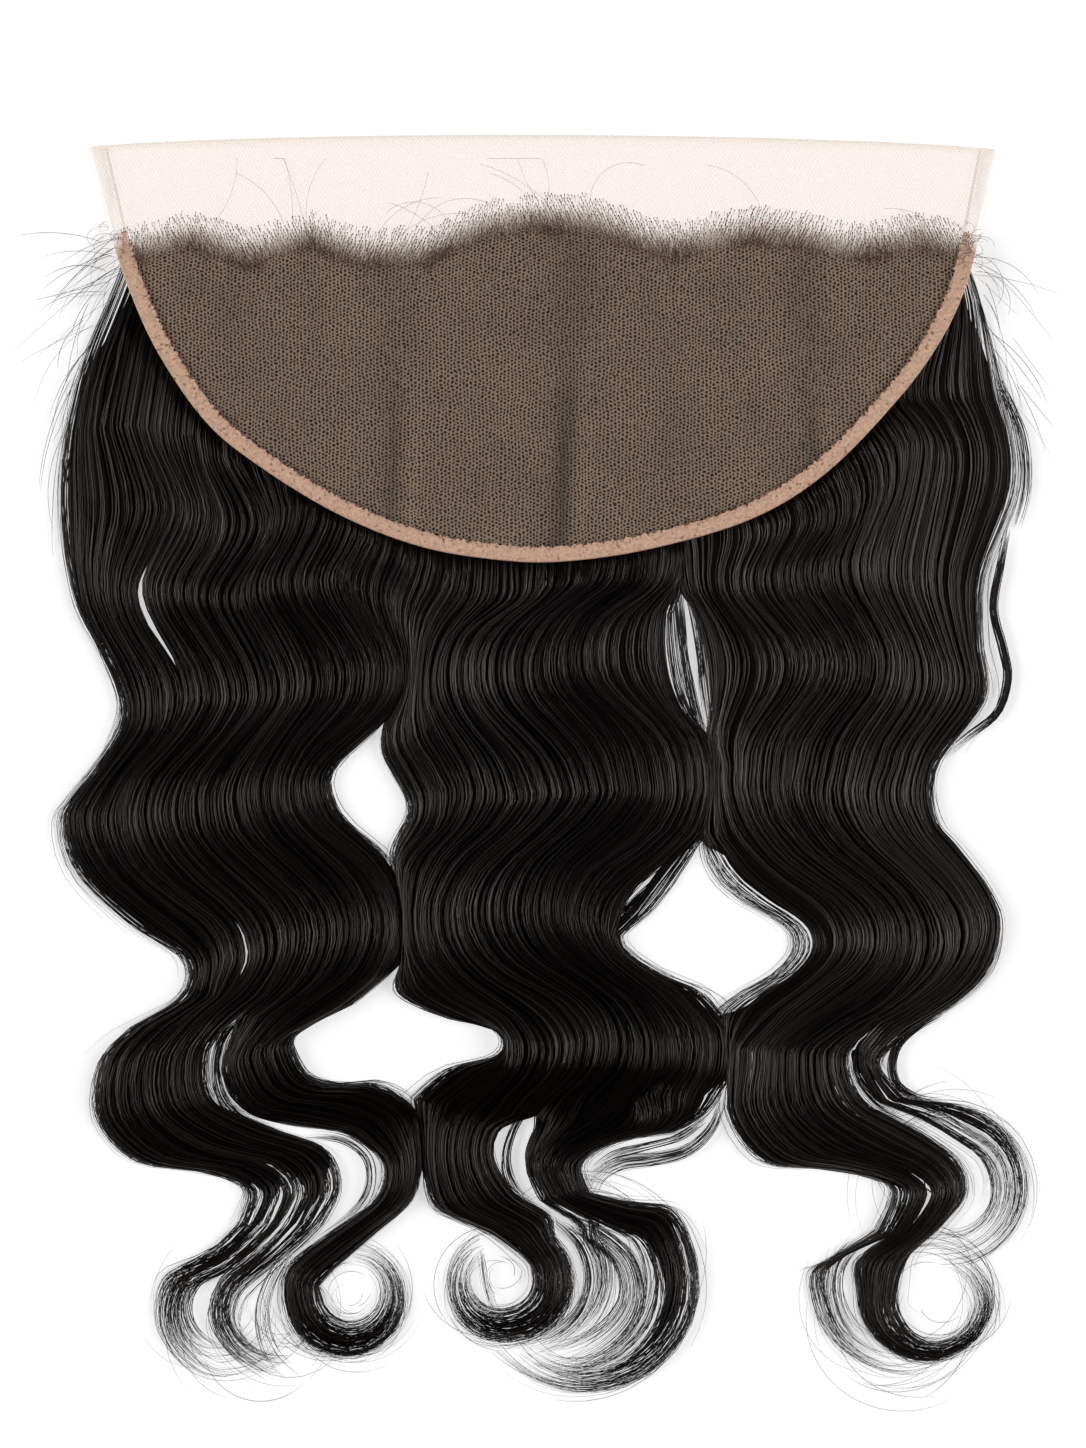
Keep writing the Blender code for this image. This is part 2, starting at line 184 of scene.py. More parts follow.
@dataclass(frozen=True)
class Curl:
    """The end of a lock, carried round a centre. Its two edges keep radii read evenly on the way."""

    x: float
    y: float
    start: float
    sweep: float
    left: tuple[float, ...]
    right: tuple[float, ...]
    thick: float
    tip_thick: float = 1.4
    step: float = 22.0

    def rows(self) -> list[Array]:
        """Return rows round the curl, as numbers in a Row's order."""
        count = max(2, round(abs(self.sweep) / self.step))
        found = []
        for share in np.linspace(0.0, 1.0, count + 1):
            angle = math.radians(self.start + self.sweep * share)
            way = np.array((math.cos(angle), math.sin(angle)))
            centre = np.array((self.x, self.y))
            left = centre + way * np.interp(share, np.linspace(0, 1, len(self.left)), self.left)
            right = centre + way * np.interp(share, np.linspace(0, 1, len(self.right)), self.right)
            found.append(np.array((*left, *right, mix(self.thick, self.tip_thick, share**1.5))))
        return found


@dataclass(frozen=True)
class Lock:
    """A stretch of hair between two columns of its section, and the locks it parts into.

    solid_to and thin_from say how far down the whole fall the dense core reaches and where the
    strands begin to end. fan is how far the wisps spread at the tip.
    """

    first: int
    last: int
    rows: tuple[Row, ...]
    curl: Optional[Curl] = None
    children: tuple["Lock", ...] = ()
    solid_to: float = 1.0
    thin_from: float = 0.9
    fan: float = 1.5
    share: float = 1.0

    @property
    def columns(self) -> int:
        """Return how many columns of its section the lock takes."""
        return self.last - self.first

    def sides(self, inner: "Lock") -> tuple[float, float]:
        """Return the shares of this lock between which a lock inside it lies."""
        low, high = inner.first - self.first, inner.last - self.first
        return low / self.columns, high / self.columns


@dataclass
class Fall:
    """The whole way of one leaf lock from the hairline to its tip, as evenly eased stations.

    Each station holds the lock's two edges, its thickness, the two shares that the edges take of
    the lock they are still part of, and the two that they take of the whole section.
    """

    lock: Lock
    stations: Array
    lengths: Array

    def read(self, places: Array) -> Array:
        """Return stations at places from 0 to 1, with one more axis for their values."""
        at = np.clip(places, 0.0, 1.0) * (len(self.stations) - 1)
        cell = np.clip(np.floor(at).astype(int), 0, len(self.stations) - 2)
        share = (at - cell)[..., None]
        return mix(self.stations[cell], self.stations[cell + 1], share)


@dataclass(frozen=True)
class Guide:
    """Where the hair at one share across a section really runs, as (y, x) down the fall.

    Below the knots the line goes on from low_from, with one x for each GUIDE_STEP down.
    """

    share: float
    knots: tuple[tuple[float, float], ...]
    low_from: float = 0.0
    low: tuple[float, ...] = ()

    def all_knots(self) -> tuple[tuple[float, float], ...]:
        """Return the knots with the even ones below them."""
        even = tuple((self.low_from - GUIDE_STEP * number, x) for number, x in enumerate(self.low))
        return self.knots + even

    def x_at(self, y: Array) -> Array:
        """Return the hair's x at these y."""
        knots = np.array(self.all_knots())
        fine = catmull(knots, np.linspace(0.0, len(knots) - 1, 12 * len(knots)))
        order = np.argsort(fine[:, 0])
        return np.interp(y, fine[order, 0], fine[order, 1])


@dataclass(frozen=True)
class PaintedSheen:
    """A patch of painted sheen on the hair, which strengthens its coat (or weakens it, as painted
    shade, below 0), as wide as its half sizes.
    """

    x: float
    y: float
    half_x: float
    half_y: float
    gain: float

    def at(self, x: Array, y: Array) -> Array:
        """Return the painted sheen's gain at these places."""
        across, along = (x - self.x) / self.half_x, (y - self.y) / self.half_y
        return self.gain * np.exp(-(across**2) - along**2)


@dataclass(frozen=True)
class Parting:
    """A slit that opens the hair along one share across a section, between two y."""

    share: float
    top_y: float
    low_y: float
    half: float
    reach: float = 0.05

    def opening(self, share: Array, y: Array) -> Array:
        """Return how far the slit moves the hair at each share sideways."""
        along = np.clip((y - self.low_y) / (self.top_y - self.low_y), 0.0, 1.0)
        off = share - self.share
        open_by = self.half * np.sin(np.pi * along) ** 1.3
        return np.sign(off) * open_by * np.exp(-np.abs(off) / self.reach)


LEFT_SEAM_GUIDE = (
    (84, -49), (78, -50.5), (72, -53), (66, -55.5), (60, -56), (54, -55), (48, -53), (42, -51.5),
    (36, -51), (31, -51),
)

LEFT_GUIDES = (
    Guide(
        0.125,
        (
            (130, -163), (115, -158), (107, -155.5), (99.6, -154.6), (92, -156), (84, -159),
            (77, -161.2), (69, -162.2), (61.6, -161.2), (54, -158.4), (46, -154), (39, -149.5),
            (31, -146.7), (24.5, -146.4),
        ),
        18,
        (
            -146.5, -149.5, -155.5, -161, -165.5, -168.5, -168.5, -166, -161.5, -155, -146.5, -136,
            -129, -126, -126.5, -128.5,
        ),
    ),
    Guide(
        0.25,
        (
            (130, -147), (121, -145), (113, -141), (105, -137), (97, -135.5), (88, -138.5),
            (80, -143.5), (73, -147.5), (66, -149), (56, -146), (47, -140), (38, -135), (31, -133),
            (25, -132.5),
        ),
        18,
        (
            -135.5, -140.5, -146.5, -153.5, -156.5, -158, -157.5, -155, -151, -143.5, -133.5, -125,
            -121, -119.5, -122, -124.5,
        ),
    ),
    Guide(
        0.375,
        (
            (126, -134), (120, -132.5), (114, -131.3), (107, -128.9), (100.5, -126.6), (94, -126),
            (87, -127.5), (80.6, -130.4), (75, -134.2), (69, -136.5), (63.5, -136.5), (58, -134.2),
            (52, -130.4), (45, -125.6), (39, -121.8), (32, -119.4), (25, -119),
        ),
        18,
        (
            -122, -126.5, -133.5, -139.5, -143, -144.5, -143, -139.5, -133.5, -126.5, -118, -112.5,
            -109.5, -109, -112, -118.5,
        ),
    ),
    Guide(
        0.5,
        (
            (118, -118), (113, -116), (107, -112), (100, -107.5), (94, -105.5), (88, -106),
            (82, -109), (76, -113), (70, -117), (64, -119), (58, -117.5), (52, -114), (46, -110.5),
            (39, -107.3), (32, -105.3), (25, -105.5),
        ),
        18,
        (
            -109.5, -116, -121.5, -126.5, -129, -129, -128, -123.5, -116.5, -108, -101.5, -97.5,
            -96.5, -98, -101.5, -106,
        ),
    ),
    Guide(
        0.625,
        (
            (105, -97), (98.6, -95.7), (94, -96.2), (88, -98), (82.5, -100.9), (76.8, -104.7),
            (71, -107), (65.4, -106.6), (59.7, -104.2), (54, -100.4), (47, -96.6), (40.7, -93.3),
            (33, -91.6), (25, -92.7),
        ),
        18,
        (
            -97.5, -101.5, -107, -110, -111.5, -110.5, -107.5, -101.5, -93.5, -86, -81, -79, -79,
            -81, -85, -93,
        ),
    ),
    Guide(
        0.75,
        (
            (99, -84.5), (95, -85), (89, -87), (83, -90), (77, -93.5), (71, -95.5), (65, -94.5),
            (58, -91), (52, -86), (45, -81), (38, -78.3), (32, -78), (25, -79.5),
        ),
        18,
        (-85, -91, -95, -98, -99, -98, -93.5, -86, -78.5, -73, -69.5, -68, -68.5, -71, -76.5, -87),
    ),
    Guide(
        0.875,
        (
            (92, -70), (86, -71.5), (80, -75), (74, -78.5), (68, -78.5), (62, -76), (56, -72),
            (50, -68), (44, -65), (38, -63.5), (32, -64), (25, -66),
        ),
        18,
        (
            -71.5, -80.5, -87.5, -91.5, -92, -90, -84.5, -75.5, -67, -61.5, -58.5, -57, -58, -60.5,
            -64.5, -73,
        ),
    ),
    Guide(1.0, LEFT_SEAM_GUIDE),
)

CENTRE_GUIDES = (
    Guide(0.0, LEFT_SEAM_GUIDE),
    Guide(
        0.125,
        (
            (80, -38), (72, -37.5), (66, -40), (60, -44), (54, -46.5), (48, -47.5), (42, -48),
            (36, -48.5), (30, -49), (24, -50), (18, -50.5), (12, -50), (6, -47), (0, -42.5),
            (-5, -39.5), (-10, -38),
        ),
        -17,
        (
            -38.5, -41, -48, -52.5, -53, -52.5, -52, -51.5, -49, -45, -37, -25, -14.5, -13, -15.5,
            -22.5,
        ),
    ),
    Guide(
        0.25,
        (
            (78, -24.5), (70, -25), (65, -26), (60, -29), (55, -33.5), (50, -37), (44, -39.5),
            (38, -41), (32, -41.5), (26, -40.5), (20, -38), (14, -34), (8, -30), (2, -26.5),
            (-5, -24), (-10, -23.4),
        ),
        -17,
        (
            -25.5, -30, -37, -41.5, -44.5, -46.5, -47, -46.5, -44.5, -39, -31.5, -19, -12.5, -11,
            -12.5, -18.5,
        ),
    ),
    Guide(
        0.375,
        (
            (77, -11), (67, -10.7), (62.5, -13), (58.7, -18.6), (53, -27), (44.4, -32),
            (36.8, -33.5), (27.4, -32.5), (19.8, -29), (13, -24), (7.4, -18.6), (0.8, -13.9),
            (-6.8, -11), (-12.5, -10),
        ),
        -17,
        (-12.5, -18, -27, -33.5, -37.5, -40, -40, -39, -35, -29, -19, -9, -3.5, -1.5, -4, -9.5),
    ),
    Guide(
        0.5,
        (
            (77, 1.3), (70, 1.2), (66, -0.5), (62, -4), (57.7, -10), (52, -15.8), (46, -19.6),
            (40, -21.2), (33, -21.3), (27.4, -20), (21.6, -16.7), (16, -11), (10, -5.3), (3.6, 0.4),
            (-4, 3.9), (-10, 5.3),
        ),
        -17,
        (2, -4.5, -12.5, -20, -24.5, -26.5, -26.5, -24, -19, -9.5, 4.5, 11.5, 15.5, 15.5, 13.5, 7),
    ),
    Guide(
        0.625,
        (
            (79, 22.5), (75.8, 22.2), (70, 20.3), (66.3, 15.6), (62.5, 9.9), (56.8, 3.2),
            (51, -1.5), (45.4, -3.9), (39.7, -5.3), (33, -5.3), (27.4, -3.4), (21.7, 0.4), (16, 6),
            (10.3, 11.8), (2.7, 16.5), (-5, 18.9), (-10, 19.5),
        ),
        -17, (15.5, 8.5, -0.5, -6.5, -10, -11.5, -11, -8, -2, 9, 18, 24, 26.5, 27, 24.5, 17.5),
    ),
    Guide(
        0.75,
        (
            (80, 33.6), (77.7, 33.6), (72, 32.7), (67.2, 28.9), (63.4, 22.2), (58.7, 16.5),
            (52, 12.3), (46.3, 9.9), (39.7, 9.4), (33, 10.8), (28.3, 13.7), (23.6, 18.4),
            (17.9, 24.1), (11.2, 28.9), (4.6, 31.7), (-3, 33.1), (-10, 34),
        ),
        -17, (30, 23.5, 15, 8.5, 5, 3.5, 4, 7.5, 14, 23.5, 33.5, 39, 43, 44, 43, 38.5),
    ),
    Guide(
        0.875,
        (
            (82, 44.8), (77.7, 44.5), (71, 43.1), (66.3, 39.3), (62.5, 33.6), (58.7, 27),
            (53, 22.2), (46.3, 20.3), (38.7, 20.3), (33, 22.2), (28.3, 26), (23.6, 30.8),
            (18.8, 36.5), (13, 42.2), (6.5, 46), (-1, 47.9), (-10, 48.5),
        ),
        -17, (46.5, 42, 33.5, 22.5, 17, 14, 13.5, 16, 21, 29, 38, 44, 47.5, 49, 47.5, 35),
    ),
    Guide(
        0.94,
        (
            (86, 51), (77, 51), (71, 49), (66, 45), (61, 40.5), (55, 37.5), (48, 36), (40, 36),
            (33, 38), (27, 41.5), (21, 46), (15, 51), (8, 54.5), (0, 56.5), (-8, 57),
        ),
        -17, (55, 51.5, 45, 36.5, 28, 23.5, 22, 24, 28.5, 37.5, 46, 52, 55.5, 56.5, 55, 52),
    ),
)

RIGHT_GUIDES = (
    Guide(
        0.06,
        (
            (90, 58), (80, 59.7), (73, 59.5), (65, 61), (58, 65), (51, 69), (44, 71.5), (38, 72.3),
            (31, 71.7), (25, 70), (18, 68.5), (12, 68), (6, 69), (0, 71),
        ),
        -7, (70.5, 72, 74.5, 78.5, 84.5, 92.5, 103.5, 110, 112.5, 112.5, 108, 100.5, 91),
    ),
    Guide(
        0.125,
        (
            (98, 77.6), (93, 80.5), (88, 81.4), (82.5, 79.5), (77.7, 76.7), (72, 75.2), (66, 76),
            (61.6, 79.1), (56.8, 83.3), (52, 88.1), (46, 91.5), (40.7, 93.2), (35, 93), (29, 91),
            (23.6, 87.5), (18, 83), (12, 79.5), (6.5, 77.2), (0, 76.7),
        ),
        -7, (76, 77.5, 80, 84.5, 90.5, 100, 110.5, 117, 120.5, 120, 114.5, 104.5, 95.5),
    ),
    Guide(
        0.25,
        (
            (106, 92), (100, 96), (94, 98), (88, 96), (82, 92.5), (76, 89.5), (70, 89), (64, 91),
            (58, 95.5), (52, 100.5), (46, 104), (40, 105.3), (34, 104.3), (28, 101), (23, 97),
            (18, 93), (12, 89.6), (6, 87.7), (0, 87.2),
        ),
        -7, (86.5, 87.5, 90, 95.5, 102.5, 112.5, 121.5, 127, 129, 128.5, 125, 117.5, 107.5),
    ),
    Guide(
        0.375,
        (
            (112, 103.4), (108, 106.2), (102, 109), (96.7, 110), (91, 109), (86, 106.2),
            (81.5, 102.4), (75.8, 100), (70, 100.3), (64.4, 102.4), (59.7, 106.2), (53, 111),
            (47, 113.8), (41.7, 115.7), (35, 115.7), (29, 113.8), (23.6, 110), (18, 105.3),
            (12, 101), (6.5, 98.6), (0, 97.8),
        ),
        -7, (96, 97.5, 101, 105.5, 112.5, 123.5, 130.5, 135.5, 137.5, 137, 134, 127.5, 118),
    ),
    Guide(
        0.5,
        (
            (121.4, 111), (118.6, 113.8), (113.8, 116.6), (108, 119), (101.5, 120), (95.8, 119),
            (90, 117.1), (84, 113.8), (78.7, 111.9), (72, 111.9), (66, 113.8), (60.7, 117.6),
            (54, 121.8), (48, 124.7), (42.6, 126.1), (36, 126.1), (30, 124.7), (24.6, 121.4),
            (19, 116.6), (13, 112.3), (6.5, 109.5), (0, 108.3),
        ),
        -7, (106.5, 106.5, 109, 114, 121.5, 130, 136.5, 140.5, 142.5, 142, 140, 134.5, 128),
    ),
    Guide(
        0.625,
        (
            (131, 121), (127.5, 125.1), (122.4, 129), (115.7, 131.3), (109, 131.8), (102, 130),
            (95, 127), (88, 124.2), (80.6, 121.8), (73, 121.8), (66, 123.7), (59.7, 127),
            (53, 130.8), (47, 133.7), (40.7, 135.1), (33, 134.6), (26.5, 132.7), (19.8, 128.4),
            (13, 123.7), (6.5, 120.4), (0, 118.8),
        ),
        -7, (117, 117.5, 120.5, 125, 133, 140.5, 147, 151, 153.5, 153.5, 150, 143.5, 135),
    ),
    Guide(
        0.75,
        (
            (136.6, 132.7), (132.8, 136.5), (128, 140.3), (122.4, 141.7), (115.7, 140.8),
            (109, 139.6), (102, 138), (95.8, 136), (88, 133.7), (80.6, 131.8), (73, 131.3),
            (66, 132.7), (59.7, 135.6), (53, 139), (46, 141.8), (39.8, 143.7), (33, 144.1),
            (26.5, 142.7), (19.8, 139.4), (13, 134.6), (6.5, 130.8), (0, 129.4),
        ),
        -7, (126.5, 126.5, 128.5, 133.5, 140.5, 148, 154, 158, 159.5, 158.5, 155, 148.5, 139),
    ),
    Guide(
        0.875,
        (
            (139.5, 140.4), (134.7, 145.1), (129, 148.9), (122.4, 151.8), (115.7, 152.2),
            (109, 151.3), (102, 149.8), (95.8, 148.4), (88, 147), (80.6, 145.6), (73, 145.1),
            (66, 146), (59.7, 148), (53, 150.3), (46, 152.7), (39.8, 155), (33, 156), (26.5, 154.6),
            (19.8, 150.8), (13, 145.6), (6.5, 141.8), (0, 139.9),
        ),
        -7, (138, 138, 141, 145, 151.5, 158, 162.5, 166, 166.5, 164.5, 160.5, 154.5, 145),
    ),
)

LEFT = Lock(
    0, 24,
    (
        Row(-156, 203, -50.3, 203, 1.8), Row(-163, 184, -50.3, 184, 5.0),
        Row(-176, 150, -50.3, 156, 8.0), Row(-184, 108, -50.3, 118, 8.5),
        Row(-179, 66, -50.3, 84, 9.0), Row(-166, 40, -50.3, 54, 9.5), Row(-159.5, 20, -51, 31, 9.5),
        Row(-168, 2, -67, 11, 9.5), Row(-177.5, -10, -77.5, 2, 9.3), Row(-183, -20, -81.5, -7, 9.0),
        Row(-177, -40, -76, -20, 9.0), Row(-156, -60, -60, -35, 9.0), Row(-136, -73, -53, -55, 9.0),
        Row(-137, -87, -54, -73, 9.0), Row(-156, -99, -72, -90, 8.5),
    ),
    None,
    (
        Lock(
            0, 12,
            (
                Row(-168, -112, -127, -107, 7.5), Row(-170, -133, -125, -127, 7.0),
                Row(-155, -150, -104, -138, 6.5), Row(-128, -154.5, -83, -146, 6.0),
                Row(-113, -161, -78, -160, 5.0), Row(-115, -173, -85, -174, 4.0),
            ),
            None,
            (
                Lock(
                    0, 6, (Row(-127, -185, -117, -190, 2.5),),
                    Curl(-125, -207, 140, 140, (21.5, 22, 21.5, 23), (13.5, 13, 14, 18), 2.0),
                    solid_to=0.83, thin_from=0.74, fan=6.0,
                ),
                Lock(
                    6, 12, (Row(-112, -187, -98, -186, 2.5),),
                    Curl(-101, -207, 142, 140, (22.5, 25, 23.5, 23), (15.5, 18, 18.5, 20), 2.0),
                    solid_to=0.86, thin_from=0.78, fan=5.0,
                ),
            ),
        ),
        Lock(
            12, 24,
            (
                Row(-121, -110, -94, -101.5, 7.5), Row(-121.3, -118, -94.5, -110, 7.5),
                Row(-117, -127, -89.5, -118, 7.5), Row(-110, -132.5, -79, -121.3, 7.5),
                Row(-99, -135.5, -66, -120.5, 7.5), Row(-86, -137.5, -55, -125, 7.5),
                Row(-74, -139.5, -49, -133, 7.5), Row(-60.5, -150, -47, -150, 7.0),
                Row(-63, -165, -50.5, -165, 6.5), Row(-82, -179, -67, -179.5, 6.0),
            ),
            Curl(
                -73, -200, 157, 290, (25, 25.8, 24, 20.8, 18, 15.8), (13, 13, 13.3, 13, 13, 13.5),
                5.0,
            ),
            solid_to=0.91, thin_from=0.82, fan=1.4,
        ),
    ),
)

CENTRE = Lock(
    0, 24,
    (
        Row(-49.7, 203, 51.2, 203, 1.8), Row(-49.7, 184, 51.2, 184, 5.0),
        Row(-49.7, 156, 51.2, 154, 8.0), Row(-49.7, 118, 51.2, 116, 8.5),
        Row(-49.7, 84, 50.5, 84, 9.0), Row(-49.7, 54, 50.5, 55, 9.5), Row(-49.9, 31, 54, 28, 9.5),
        Row(-62, 9, 62, 6, 9.5), Row(-51, -15, 63, -14, 9.5), Row(-57.5, -33, 57, -32, 9.5),
        Row(-51.8, -55, 40, -55, 9.5), Row(-52.6, -73, 29, -66, 9.5), Row(-56, -86, 43, -78, 9.5),
        Row(-37, -95.5, 59.5, -85, 9.0), Row(-19.5, -99.3, 67.3, -94, 9.0),
        Row(-14.6, -105, 70.4, -106, 9.0), Row(-18.5, -110.6, 69.4, -118.5, 8.6),
        Row(-36, -115.5, 62.5, -131, 8.3), Row(-49, -126, 50, -139, 8.0),
    ),
    None,
    (
        Lock(
            0, 12,
            (
                Row(-45.6, -138, -16, -138, 7.5), Row(-45, -153, -18.5, -150, 7.5),
                Row(-41, -168, -10, -163, 7.0), Row(-21, -177, 2, -171, 6.5),
            ),
            Curl(
                -16, -196, 42, -285, (13, 12.8, 11.7, 12.5, 14, 14.3),
                (26, 27, 23, 21.5, 18.5, 16.8), 5.5,
            ),
            solid_to=0.89, thin_from=0.78, fan=1.6,
        ),
        Lock(
            12, 24,
            (
                Row(-3.5, -140, 28, -142.5, 7.5), Row(-6.5, -151, 14.5, -151, 7.5),
                Row(-1, -163.5, 16.5, -162, 7.0),
            ),
            None,
            (
                Lock(
                    12, 15, (Row(13.5, -173, 20, -170.5, 3.0),),
                    Curl(-1, -194, 38, -128, (22, 23.5, 24.5), (27, 26.8, 27), 2.0), solid_to=0.80,
                    thin_from=0.74, fan=4.0,
                ),
                Lock(
                    15, 24, (Row(24, -174.5, 33, -166.8, 5.5),),
                    Curl(
                        15, -195, 38, -178, (25, 26.5, 29.5, 34, 34.5), (42, 43, 42.2, 41.5, 41),
                        5.5,
                    ),
                    solid_to=0.93, thin_from=0.80, fan=3.0,
                ),
            ),
        ),
    ),
)

RIGHT = Lock(
    0, 24,
    (
        Row(51.8, 203, 157.5, 203, 1.8), Row(51.8, 184, 165, 184, 5.0),
        Row(51.8, 154, 174, 151, 8.0), Row(51.8, 116, 181, 110, 8.5), Row(53, 78, 168.5, 74, 9.0),
        Row(58, 50, 167, 49, 9.5), Row(61.5, 28, 168.5, 26, 9.5), Row(66, -2, 150, 0, 9.5),
        Row(61, -27, 150, -20, 9.5), Row(66, -41.5, 157, -29, 9.2), Row(76.5, -51, 165.5, -40, 9.0),
        Row(88.5, -57.3, 171.3, -49.5, 8.8), Row(95.3, -63, 174.4, -58, 8.6),
        Row(95.6, -71, 173, -69.5, 8.5), Row(88, -79.5, 168, -80, 8.5), Row(76, -86, 157, -90, 8.5),
        Row(67.8, -92.5, 143, -98, 8.5),
    ),
    None,
    (
        Lock(
            0, 18,
            (
                Row(72.6, -111, 116.5, -112, 8.5), Row(70, -131, 123, -128, 8.0),
                Row(84, -150, 142, -138, 7.5), Row(112, -153.5, 158, -150, 7.0),
                Row(133, -160, 160.5, -163, 6.5), Row(129, -176, 149, -177, 6.0),
            ),
            None,
            (
                Lock(
                    0, 6, (Row(111, -187, 118, -184.5, 3.0),),
                    Curl(138, -196, 175, 118, (35, 34, 33.5), (31, 31, 31.3), 2.0), solid_to=0.80,
                    thin_from=0.72, fan=3.5,
                ),
                Lock(
                    6, 18, (Row(120, -187.5, 138, -187, 5.0),),
                    Curl(
                        148, -205, 165, 262, (29, 23, 19.8, 23, 21.5), (15, 14.2, 16, 18.5, 18),
                        4.0,
                    ),
                    solid_to=0.90, thin_from=0.78, fan=2.2,
                ),
            ),
        ),
        Lock(
            18, 24, (Row(120, -111, 127.5, -112, 4.0), Row(126.5, -126.5, 137, -126, 4.0)), None,
            (
                Lock(
                    18, 21, (Row(145, -134, 148, -131.5, 3.0),),
                    Curl(154, -160, 62, -158, (18, 19.5), (21.5, 22), 2.0), solid_to=0.84,
                    thin_from=0.74, fan=2.2,
                ),
                Lock(
                    21, 24, (Row(150, -130.8, 152.5, -128.3, 3.5),),
                    Curl(154, -160, 70, -165, (24, 24.5, 25.5), (31, 30.6, 28.7), 2.5),
                    solid_to=0.88, thin_from=0.76, fan=2.0,
                ),
            ),
        ),
    ),
)


LEFT_PARTINGS = (
    Parting(0.212, 86.0, 30.0, 1.7), Parting(0.085, -108.0, -148.0, 0.9, 0.03),
    Parting(0.33, -52.0, -86.0, 0.7, 0.03), Parting(0.085, 165.0, 132.0, 1.3, 0.05),
    Parting(0.30, -8.0, -36.0, 0.35, 0.03),
)
CENTRE_PARTINGS = (Parting(0.97, -37.0, -61.0, 2.2, 0.02),)
RIGHT_PARTINGS = (
    Parting(0.75, -42.0, -79.0, 0.9, 0.03), Parting(0.12, -98.0, -132.0, 0.5, 0.03),
    Parting(0.63, -114.0, -138.0, 0.5, 0.03), Parting(0.38, -144.0, -180.0, 1.3, 0.04),
)


# Painted sheen patches: each raises the hair's coat weight and roughness in one place, or lowers them
# as painted shade where its gain is below 0.
PAINTED_SHEENS = (
    PaintedSheen(-5, 58, 62, 9, 0.9), PaintedSheen(10, 22, 55, 16, 0.35), PaintedSheen(12, -30, 40, 22, 0.2),
    PaintedSheen(-5, -124, 70, 13, -1.0), PaintedSheen(0, -82, 55, 8, -0.3), PaintedSheen(115, 22, 45, 14, 0.35),
    PaintedSheen(122, -34, 42, 16, 0.55), PaintedSheen(145, -75, 30, 24, 0.4), PaintedSheen(-110, 82, 60, 10, 0.4),
    PaintedSheen(-100, 20, 45, 9, 0.3), PaintedSheen(-130, -20, 45, 9, 0.2), PaintedSheen(-80, -58, 38, 14, 0.2),
    PaintedSheen(-160, 40, 24, 14, 0.2), PaintedSheen(-110, 60, 50, 7, -0.25), PaintedSheen(-115, 4, 50, 7, -0.2),
)


def clear_selection() -> None:
    """Deselect everything, so that an operator acts on its own piece alone."""
    bpy.ops.object.select_all(action="DESELECT")


def put_down(points: Array) -> Array:
    """Return places in the frame, in metres, for points as the tables have them."""
    return (points + np.array((0.0, CENTRE_Y, 0.0))) * MM


def read_points(piece: bpy.types.Object) -> Array:
    """Return a mesh's vertices in millimetres, measured as the tables are."""
    flat = np.zeros(len(piece.data.vertices) * 3)
    piece.data.vertices.foreach_get("co", flat)
    return flat.reshape(-1, 3) / MM - np.array((0.0, CENTRE_Y, 0.0))


def object_from_arrays(name: str, points: Array, faces: Array, sizes: Array) -> bpy.types.Object:
    """Make a joined mesh object from arrays.

    Args:
        name: the object's name.
        points: its vertices in millimetres, measured as the tables are.
        faces: the vertex numbers of all faces, one after another.
        sizes: how many corners each face has.

    Returns:
        The new object, linked to the scene.
    """
    mesh = bpy.data.meshes.new(name)
    mesh.vertices.add(len(points))
    mesh.vertices.foreach_set("co", put_down(points).astype(np.float32).ravel())
    mesh.loops.add(len(faces))
    mesh.loops.foreach_set("vertex_index", faces.astype(np.int32).ravel())
    starts = np.concatenate([[0], np.cumsum(sizes)[:-1]])
    mesh.polygons.add(len(sizes))
    mesh.polygons.foreach_set("loop_start", starts.astype(np.int32))
    mesh.update(calc_edges=True)
    mesh.validate()
    mesh.shade_smooth()
    made = bpy.data.objects.new(name, mesh)
    bpy.context.scene.collection.objects.link(made)
    return made


def give_uv(piece: bpy.types.Object, per_vertex: Array) -> None:
    """Give a mesh a UV map whose corners take the values of their vertices."""
    mesh = piece.data
    corners = np.zeros(len(mesh.loops), np.int32)
    mesh.loops.foreach_get("vertex_index", corners)
    layer = mesh.uv_layers.new(name="strand")
    layer.data.foreach_set("uv", per_vertex[corners].astype(np.float32).ravel())


def give_values(piece: bpy.types.Object, name: str, per_vertex: Array) -> None:
    """Give a mesh a named value at each vertex."""
    layer = piece.data.attributes.new(name, "FLOAT", "POINT")
    layer.data.foreach_set("value", per_vertex.astype(np.float32).ravel())


